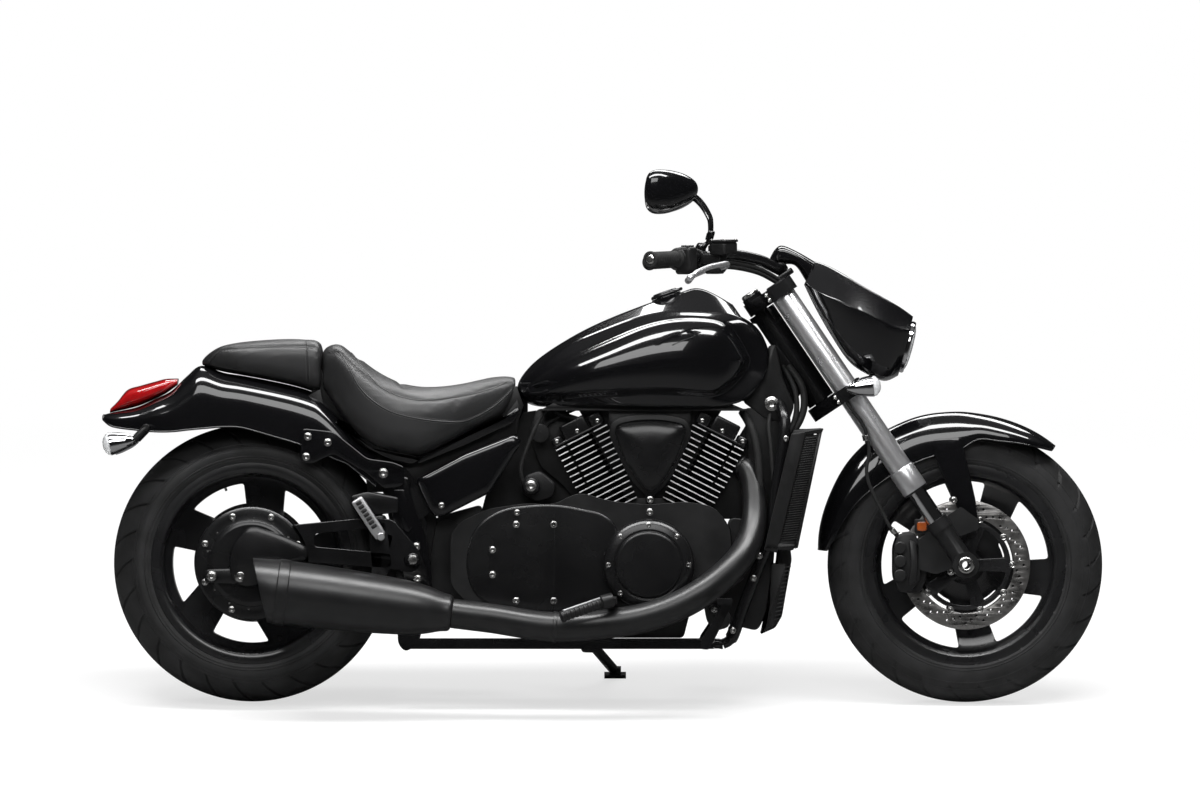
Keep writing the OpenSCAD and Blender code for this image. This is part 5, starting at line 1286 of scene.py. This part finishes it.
def make_pegs():
    r = Piece("rider_footrests", "chassis", PLASTIC, "satin_black")
    r.plate(rounded(rect(6, 32, 236, 254), 4), 150, 300, SIDES, 4)
    a, b = Vector((14, 288, 245)), Vector((-101, 316, 206))
    way = (b - a).normalized()
    h = (b - a).length
    prof = [(0, 0), (15, 0), (16, 6), (12, 10)]
    for k in range(9):
        z = 14 + 11.2 * k
        prof += [(11.4, z), (13, z + 2), (13, z + 7), (11.4, z + 9)]
    prof += [(14, h - 7), (14, h - 1), (11, h), (0, h)]
    r.put(revolve(soft(prof, 0.8, 2), 32), axis_at(a, b), SIDES)
    r.rod((22, 288, 247), (-6, 296, 240), 17, SIDES, end=3)
    r.done("rider_footrests")
    top = Piece("footrest_strips", "chassis", BRUSHED, "satin_black")
    up = Vector((0, 0, 1)) - way * way.z
    up.normalize()
    side = way.cross(up)
    at = Matrix.Translation(a + up * 10) @ Matrix((side, way, up)).transposed().to_4x4()
    top.put(slab(rounded([(-5, 16), (5, 16), (6, h - 8), (-6, h - 8)], 4), 0, 5, 1.5), at, SIDES)
    top.done()
    q = Piece("pillion_footrests", "chassis", FRAME_PAINT, "satin_black")
    q.plate(rounded([(-486, 452), (-486, 488), (-560, 502), (-600, 492), (-600, 462), (-540, 446)], 8), 131, 150, SIDES,
            4)
    q.disc(-585, 474, soft([(0, 27), (9, 27), (11, 24), (11, 0)], 2), 149, SIDES, 1, 28)
    q.done("pillion_footrests")
    g = Piece("pillion_footrest_bars", "chassis", BRUSHED, "satin_black")
    low, high = Vector((-527, 172, 394)), Vector((-586, 172, 484))
    run = (high - low).normalized()
    at = Matrix.Translation(low) @ Matrix((run.cross(Vector((0, 1, 0))), run, Vector((0, -1, 0)))).transposed().to_4x4()
    h = (high - low).length
    g.put(slab(rounded([(-13, 0), (13, 0), (15, 20), (15, h), (-15, h), (-15, 20)], 6), -13, 13, 4), at, SIDES)
    g.rod((-534, 150, 405), (-527, 190, 394), 9, SIDES)
    g.done()
    g = Piece("pillion_footrest_pads", "chassis", GRIP, "grip_rubber")
    for k in range(7):
        g.put(slab(rounded(rect(-7, 7, 26 + 11 * k, 34 + 11 * k), 2), -15, 15, 1.5), at, SIDES)
    g.done()
    softened("side_stand", "side_stand", FRAME_PAINT, "satin_black", 2)
    s = Piece("side_stand_bolt", "chassis", BOLT, "satin_black")
    s.bolt((-520, 156, 500), (0, 1, 0), 5, 4)
    s.done()


# ---------------------------------------------------------------- fork, bar and what is on them
def fork_put(p, profile):
    """A turned piece on both fork legs, with its heights along the leg from the axle."""
    for s in SIDES:
        p.put(revolve(profile), FORK @ shift(0, s * LEG_Y, 0))


def make_fork():
    softened("triple_clamps", "steering", FRAME_PAINT, "case_black", 4)
    softened("fork_ends", "steering", CAST, "case_black", 3)
    softened("front_calipers", "steering", CAST, "case_black", 4)
    t = Piece("fork_tubes", "steering", BRUSHED, "brushed")
    fork_put(t, [(21.6, 216), (26, 214), (31, 215), (31.5, 219), (31.5, 272), (30, 275), (28.2, 276), (28.2, 800),
                 (26.5, 804),
                 (21.6, 804), (21.6, 216)])
    t.done("fork_tubes")
    c = Piece("fork_rings", "steering", SATIN, "brushed")
    fork_put(c, [(22, 210), (29, 210), (30.2, 213), (30.2, 217), (22, 217), (22, 210)])
    fork_put(c, [(0, 796), (21, 796), (25, 800), (25, 806), (22, 808), (12, 808), (11, 805), (0, 805)])
    c.done()
    s = Piece("fork_sliders", "steering", CHROME, "chrome")
    fork_put(s, rect(0, 21.3, 128, 232))
    s.done("fork_sliders")
    b = Piece("fork_bolts", "steering", BOLT, "case_black")
    for side in SIDES:
        for z0 in (480, 772):
            for dz in (9, 23):
                at = FORK @ Vector((-34, side * (LEG_Y + 34), z0 + dz))
                b.bolt(tuple(at), (-0.75, side * 0.35, -0.4), 5, 4)
        for x, z in ((706, 395), (706, 279), (825, 312)):
            b.bolt((x, side * 99, z), (0, side, 0), 6.5, 5)
        b.bolt((865, side * 89.5, 424), (0, side, 0), 5.5, 4)
        b.bolt((832, side * 89.5, 481), (0, side, 0), 5.5, 4)
        b.put(revolve(soft([(9.2, 0), (20, 0), (20, 5), (17, 8), (10.5, 8), (9.2, 6), (9.2, 0)], 0.8, 2), 48),
              outward(AXLE_X, side * 134, FRONT_Z, side))
        for x in (712, 742):
            b.bolt((x, side * 99, 300 if x < 720 else 350), (0, side, 0), 4, 3)
    b.put(revolve(soft([(0, 0), (20, 0), (22, 3), (22, 9), (18, 12), (9, 12), (8, 8), (0, 8)], 1, 2), 40),
          FORK @ shift(-FORK_OFFSET, 0, 812))
    b.done()
    k = Piece("caliper_bodies", "steering", CAST, "case_black")
    k.plate(rounded([(700, 402), (737, 406), (754, 372), (752, 292), (730, 262), (700, 262), (688, 300), (688, 370)],
                    12), 99, 113,
            SIDES, 5)
    for z in (368, 336, 302):
        k.disc(704, z, soft([(0, 9), (13, 9), (15, 7), (15, 0)], 2), 112, SIDES, 1, 32)
    k.plate(rounded([(724, 388), (742, 380), (746, 330), (742, 284), (724, 278), (730, 330)], 7), 112, 118, SIDES, 2.5)
    k.done()
    r = Piece("fork_reflectors", "steering", AMBER, "case_black")
    r.plate(rounded(rect(744, 768, 408, 430), 8), 104, 109, SIDES, 1.5)
    r.done()
    base = Piece("reflector_stays", "steering", SATIN, "case_black")
    base.plate(rounded([(738, 402), (796, 396), (800, 420), (770, 436), (738, 436)], 4), 99, 104.5, SIDES, 1)
    base.done()
    h = Piece("brake_hoses", "steering", GRIP, "grip_rubber")
    route = [(577, -136, 714.4), (590, -137.5, 695), (618, -134.5, 655), (630, -130, 602), (624, -130, 547),
             (638, -126, 500),
             (660, -118, 457), (678, -110, 421), (700, -100, 394)]
    h.put(tube(spline(route, 8), 4.2, 16), sides=SIDES)
    h.done("brake_hoses")
    f = Piece("hose_fittings", "steering", BOLT, "case_black")
    for k in ((2, 3), (7, 8)):
        a, b2 = Vector(route[k[0]]), Vector(route[k[1]])
        m = a.lerp(b2, 0.5)
        f.rod(m - (b2 - a).normalized() * 7, m + (b2 - a).normalized() * 7, 6, SIDES, 12, 1)
    f.done()


def make_bar():
    turn_at = GRIP_AT @ Vector((255, 0, 0))
    half = [tuple(turn_at), (300, -158, 1064), (368, -104, 1052), (412, -66, 1032), (425, -34, 1025)]
    right = spline([tuple(GRIP_AT @ Vector((x, 0, 0))) for x in (0, 120, 200)] + half, 8)
    path = right + [(x, -y, z) for x, y, z in right[::-1]]
    p = Piece("handlebar", "steering", FRAME_PAINT, "satin_black")
    p.put(tube(path, 12.7, 32, (0, 0, 1)))
    for s in SIDES:
        p.put(slab(rounded(rect(8, 52, s * 48 - 15, s * 48 + 15), 6), 804, 818, 3), FORK)
        p.put(slab(rounded(rect(20, 46, s * 48 - 13, s * 48 + 13), 5), 818, 846, 5), FORK)
    p.done("handlebar")
    g = Piece("grips", "steering", GRIP, "grip_rubber")
    prof = [(12.8, -6), (18, -6), (19.5, -4), (19.5, -1), (17.4, 1)]
    for k in range(13):
        x = 5 + 8.2 * k
        prof += [(16.6, x), (17.6, x + 1.4), (17.6, x + 5.2), (16.6, x + 6.6)]
    prof += [(17.4, 114), (21.5, 117), (21.5, 121), (20, 122), (12.8, 122), (12.8, -6)]
    g.put(revolve(soft(prof, 0.6, 2), 30), GRIP_AT @ turn("Y", 90), SIDES)
    g.done("grips")
    e = Piece("bar_end_weights", "steering", BOLT, "grip_rubber")
    e.put(revolve(soft([(0, -8), (8, -8), (11, -6), (13, -3), (13, 0), (0, 0)], 1, 2), 32), GRIP_AT @ turn("Y", 90),
          SIDES)
    e.done()
    c = Piece("hand_controls", "steering", PLASTIC, "black_plastic")
    along = GRIP_AT @ turn("Y", 90)
    c.put(revolve(soft([(12.9, 123), (22, 123), (25, 127), (25, 163), (22, 168), (12.9, 168), (12.9, 123)], 2.5, 3),
                  48), along,
          SIDES)
    c.put(slab(rounded(rect(125, 165, -34, 6), 10), -34, 26, 8, steps=4), GRIP_AT, SIDES)
    c.put(revolve(soft([(12.9, 217), (18, 217), (20, 220), (20, 240), (18, 243), (12.9, 243), (12.9, 217)], 1.5, 3),
                  40), along,
          SIDES)
    c.put(slab(rounded(rect(213, 249, -66, -14), 7), -16, 10, 5, steps=3), GRIP_AT, SIDES)
    c.put(slab(rounded(rect(193, 255, -92, -46), 9), 6, 34, 4, steps=3), GRIP_AT, SIDES)
    c.put(slab(rounded(rect(191, 257, -94, -44), 10), 35, 41, 2, steps=3), GRIP_AT, SIDES)
    c.put(slab(rounded(rect(212, 248, -64, -26), 9), -36, -15, 4, steps=3), GRIP_AT, SIDES)
    c.done("hand_controls")
    leads = Piece("bar_leads", "steering", GRIP, "grip_rubber")
    for off, r in ((-17, 5), (-27, 4)):
        path = [tuple(GRIP_AT @ Vector((170, 4, off + 2)))] + [(x, y, z + off) for x, y, z in
                                                              (tuple(turn_at), (300, -158, 1062), (368, -104, 1048),
                                                               (420, -70, 1020))]
        leads.put(tube(spline(path, 8), r, 14, (0, 0, 1)), sides=SIDES)
    leads.done()
    k = Piece("control_buttons", "steering", SWITCH, "black_plastic")
    for x, y, w, h in ((136, -24, 7, 4), (152, -24, 6, 4), (145, -8, 9, 5)):
        k.put(slab(rounded(rect(x - w, x + w, y - h, y + h), 3), 24, 30, 1.5), GRIP_AT, SIDES)
    for z in (-18, -2, 12):
        k.put(slab(rounded(rect(134, 156, z - 4, z + 4), 3), 0, 4.5, 1.5),
              GRIP_AT @ shift(0, 6, 0) @ turn("X", 90) @ shift(0, 0, -4.5), SIDES)
    k.done()
    b = Piece("control_bolts", "steering", BOLT, "black_plastic")
    for x, y in ((198, -87), (250, -87), (198, -51), (250, -51)):
        at = GRIP_AT @ Vector((x, y, 41))
        b.bolt(tuple(at), (0, 0, 1), 2.6, 1.6, SIDES)
    b.rod(tuple(GRIP_AT @ Vector((230, -46, -27))), tuple(GRIP_AT @ Vector((230, -46, 12))), 6, SIDES, 16, 1)
    b.done()
    line = spline([(230, -46, -25.6), (214, -80, -21), (180, -99, -15), (110, -98, -21), (62, -90, -32), (48, -88, -38),
                   (36, -86, -44), (29, -85, -47)], 8)
    last = len(line) - 1
    r = [5.5 + 3 * math.sin(math.radians(10 * (i - last + 16))) if i > last - 16 else 8 - 2.5 * i / (last - 16)
         for i in range(last + 1)]
    lever = Piece("hand_levers", "steering", BRUSHED, "chrome")
    lever.put(tube(line, r, 24, (0, 0, 1)), GRIP_AT, SIDES)
    lever.done("hand_levers")


def make_mirrors():
    stem = spline([(231, -234, 1079.5), (247, -240, 1092), (254, -246, 1112), (255, -252, 1138), (251, -260, 1156),
                   (234, -284, 1184), (212, -312, 1203), (176, -339, 1214)], 8)
    p = Piece("mirrors", "steering", PAINT, "gloss_black")
    p.put(tube(stem, 5, 20, (1, 0, 0)), sides=SIDES)
    p.put(revolve(soft([(0, -10), (11, -10), (13, -7), (13, 0), (9, 4), (7, 9), (5, 12)], 1.5, 3), 32),
          axis_at(stem[2], stem[4]), SIDES)
    p.put(revolve(soft([(0, 0), (8, 0), (8.5, 2), (8.5, 16), (7, 19), (5, 20)], 1, 2), 32), axis_at(stem[12], stem[14]),
          SIDES)
    at = shift(164, -345, 1216) @ turn("Z", -48)
    outline = closed_spline([(-76, -12), (-70, -36), (-50, -49), (-16, -50), (28, -40), (64, -24), (76, -8), (76, 10),
                             (62, 26),
                             (26, 40), (-16, 46), (-52, 44), (-70, 32), (-76, 12)], 6)

    def ring(x, q, pull=0.0):
        """The head's outline, drawn in about a point nearer the stem as it deepens."""
        return [(x, 14 * pull + (y - 14 * pull) * q, z * q) for y, z in outline]
    shell = [(-11, 0.93), (-14.6, 0.955), (-15, 0.98), (-13, 1.0), (-6, 0.995, 0.1), (4, 0.95, 0.4), (13, 0.85, 1),
             (20, 0.68, 1.6),
             (25, 0.46, 2), (27.5, 0.2, 2.2), (28, 0.03, 2.2)]
    p.put(grid([ring(*q) for q in shell]), at, SIDES)
    p.done("mirrors", angle=50)
    g = Piece("mirror_glass", "steering", GLASS, "chrome")
    g.put(grid([ring(x, q) for x, q in ((-10.4, 0.94), (-11.6, 0.93), (-12.2, 0.9), (-12.4, 0.5), (-12.4, 0.05))]), at,
          SIDES)
    g.done(angle=20)


# ---------------------------------------------------------------- floor, light and camera
def math_node(nt, operation, a, b):
    n = nt.nodes.new("ShaderNodeMath")
    n.operation = operation
    wire(nt, a, n.inputs[0])
    wire(nt, b, n.inputs[1])
    return n.outputs[0]


def mix_shaders(nt, fac, a, b, out):
    mix = nt.nodes.new("ShaderNodeMixShader")
    wire(nt, fac, mix.inputs["Fac"])
    wire(nt, a, mix.inputs[1])
    wire(nt, b, mix.inputs[2])
    wire(nt, mix.outputs["Shader"], out.inputs["Surface"])


def make_floor():
    bpy.ops.mesh.primitive_plane_add(size=120, location=(0, 0, 0))
    floor = bpy.context.object
    floor.name = "studio_floor"
    m, nt, b = node_tree("floor_white")
    b.inputs["Roughness"].default_value = 0.9
    b.inputs["Specular IOR Level"].default_value = 0.0
    glow = nt.nodes.new("ShaderNodeEmission")
    glow.inputs["Strength"].default_value = 1.0
    path = nt.nodes.new("ShaderNodeLightPath").outputs
    # Lit near the machine, where its shadow falls, and plain white farther out
    co = nt.nodes.new("ShaderNodeTexCoord")
    away = nt.nodes.new("ShaderNodeVectorMath")
    away.operation = "LENGTH"
    wire(nt, co.outputs["Object"], away.inputs[0])
    share = ramp(nt, away.outputs["Value"], 1.5, 4.0, 0.66, 1.0)
    # Mirrored in dark paint, the floor's colour is painted dark (0.12 instead of 0.86): painted shade in its
    # reflections only, standing in for a studio's black flags
    wire(nt, mix_color(nt, path["Is Glossy Ray"], (0.86, 0.86, 0.86), (0.12, 0.12, 0.12)), b.inputs["Base Color"])
    mix_shaders(nt, math_node(nt, "MULTIPLY", path["Is Camera Ray"], share), b.outputs["BSDF"],
                glow.outputs["Emission"],
                nt.nodes["Material Output"])
    floor.data.materials.append(m)


def make_world():
    w = bpy.data.worlds.new("studio")
    bpy.context.scene.world = w
    w.use_nodes = True
    nt = w.node_tree
    nt.nodes.clear()
    out = nt.nodes.new("ShaderNodeOutputWorld")
    fill = nt.nodes.new("ShaderNodeBackground")
    fill.inputs["Color"].default_value = (1, 1, 1, 1)
    fill.inputs["Strength"].default_value = 0.26
    seen = nt.nodes.new("ShaderNodeBackground")
    seen.inputs["Strength"].default_value = 1.0
    # Seen by glossy rays, the room is pale above and dim at the sides, as a studio is around its overhead lamp
    co = nt.nodes.new("ShaderNodeTexCoord")
    split = nt.nodes.new("ShaderNodeSeparateXYZ")
    wire(nt, co.outputs["Generated"], split.inputs[0])
    high = ramp(nt, split.outputs["Z"], 0.6, 1.0, 0.015, 0.22)
    path = nt.nodes.new("ShaderNodeLightPath").outputs
    wire(nt, math_node(nt, "MAXIMUM", high, path["Is Camera Ray"]), seen.inputs["Color"])
    # 1 for a ray that sees the room, 0 for one that carries light
    sees = path["Is Camera Ray"]
    for kind in ("Is Glossy Ray", "Is Transmission Ray"):
        sees = math_node(nt, "MAXIMUM", sees, path[kind])
    mix_shaders(nt, sees, fill.outputs["Background"], seen.outputs["Background"], out)


def area(name, where, at, size, size_y, watts):
    d = bpy.data.lights.new(name, "AREA")
    d.shape = "RECTANGLE"
    d.size, d.size_y, d.energy = size, size_y, watts
    o = bpy.data.objects.new(name, d)
    bpy.context.scene.collection.objects.link(o)
    o.location = where
    o.rotation_euler = (Vector(at) - Vector(where)).to_track_quat("-Z", "Y").to_euler()
    o.visible_camera = False


def make_camera():
    cam = bpy.data.cameras.new("camera")
    o = bpy.data.objects.new("camera", cam)
    bpy.context.scene.collection.objects.link(o)
    # Millimetres to a pixel, the picture's size, and the pixel at the machine's own X = 0 and Z = 0
    scale, width, height, zero_x, zero_z = 2.38, 1200, 800, 603.5, 702
    far, sensor = 40.0, 36
    cam.sensor_width = sensor
    cam.lens = sensor * far / (width * scale / 1000)
    # The picture's middle, on the machine's own middle plane
    middle = LEANED @ Vector(((width / 2 - zero_x) * scale, 0, (zero_z - height / 2) * scale))
    back = Vector((0, -math.cos(LEAN), math.sin(LEAN)))
    o.location = middle + back * far
    o.rotation_euler = (-back).to_track_quat("-Z", "Y").to_euler()
    cam.clip_start, cam.clip_end = 1, 400
    bpy.context.scene.camera = o


make_tank()
make_seats()
make_fenders()
make_side_panels()
make_cowl()
make_tail()
make_wheels()
make_cylinders()
make_intake()
make_cases()
make_radiator()
make_inner()
make_exhaust()
make_chassis()
make_pegs()
make_fork()
make_bar()
make_mirrors()
make_floor()
make_world()
area("overhead", (0, -0.7, 3.6), (0, 0, 0.4), 5.0, 0.8, 240)
area("key", (-0.4, -3.4, 3.6), (0, 0, 0.6), 4.0, 1.5, 95)
area("back", (0.5, 3.6, 3.4), (0, 0, 0.6), 4.0, 1.2, 110)
make_camera()
bpy.context.scene.view_settings.view_transform = "Standard"
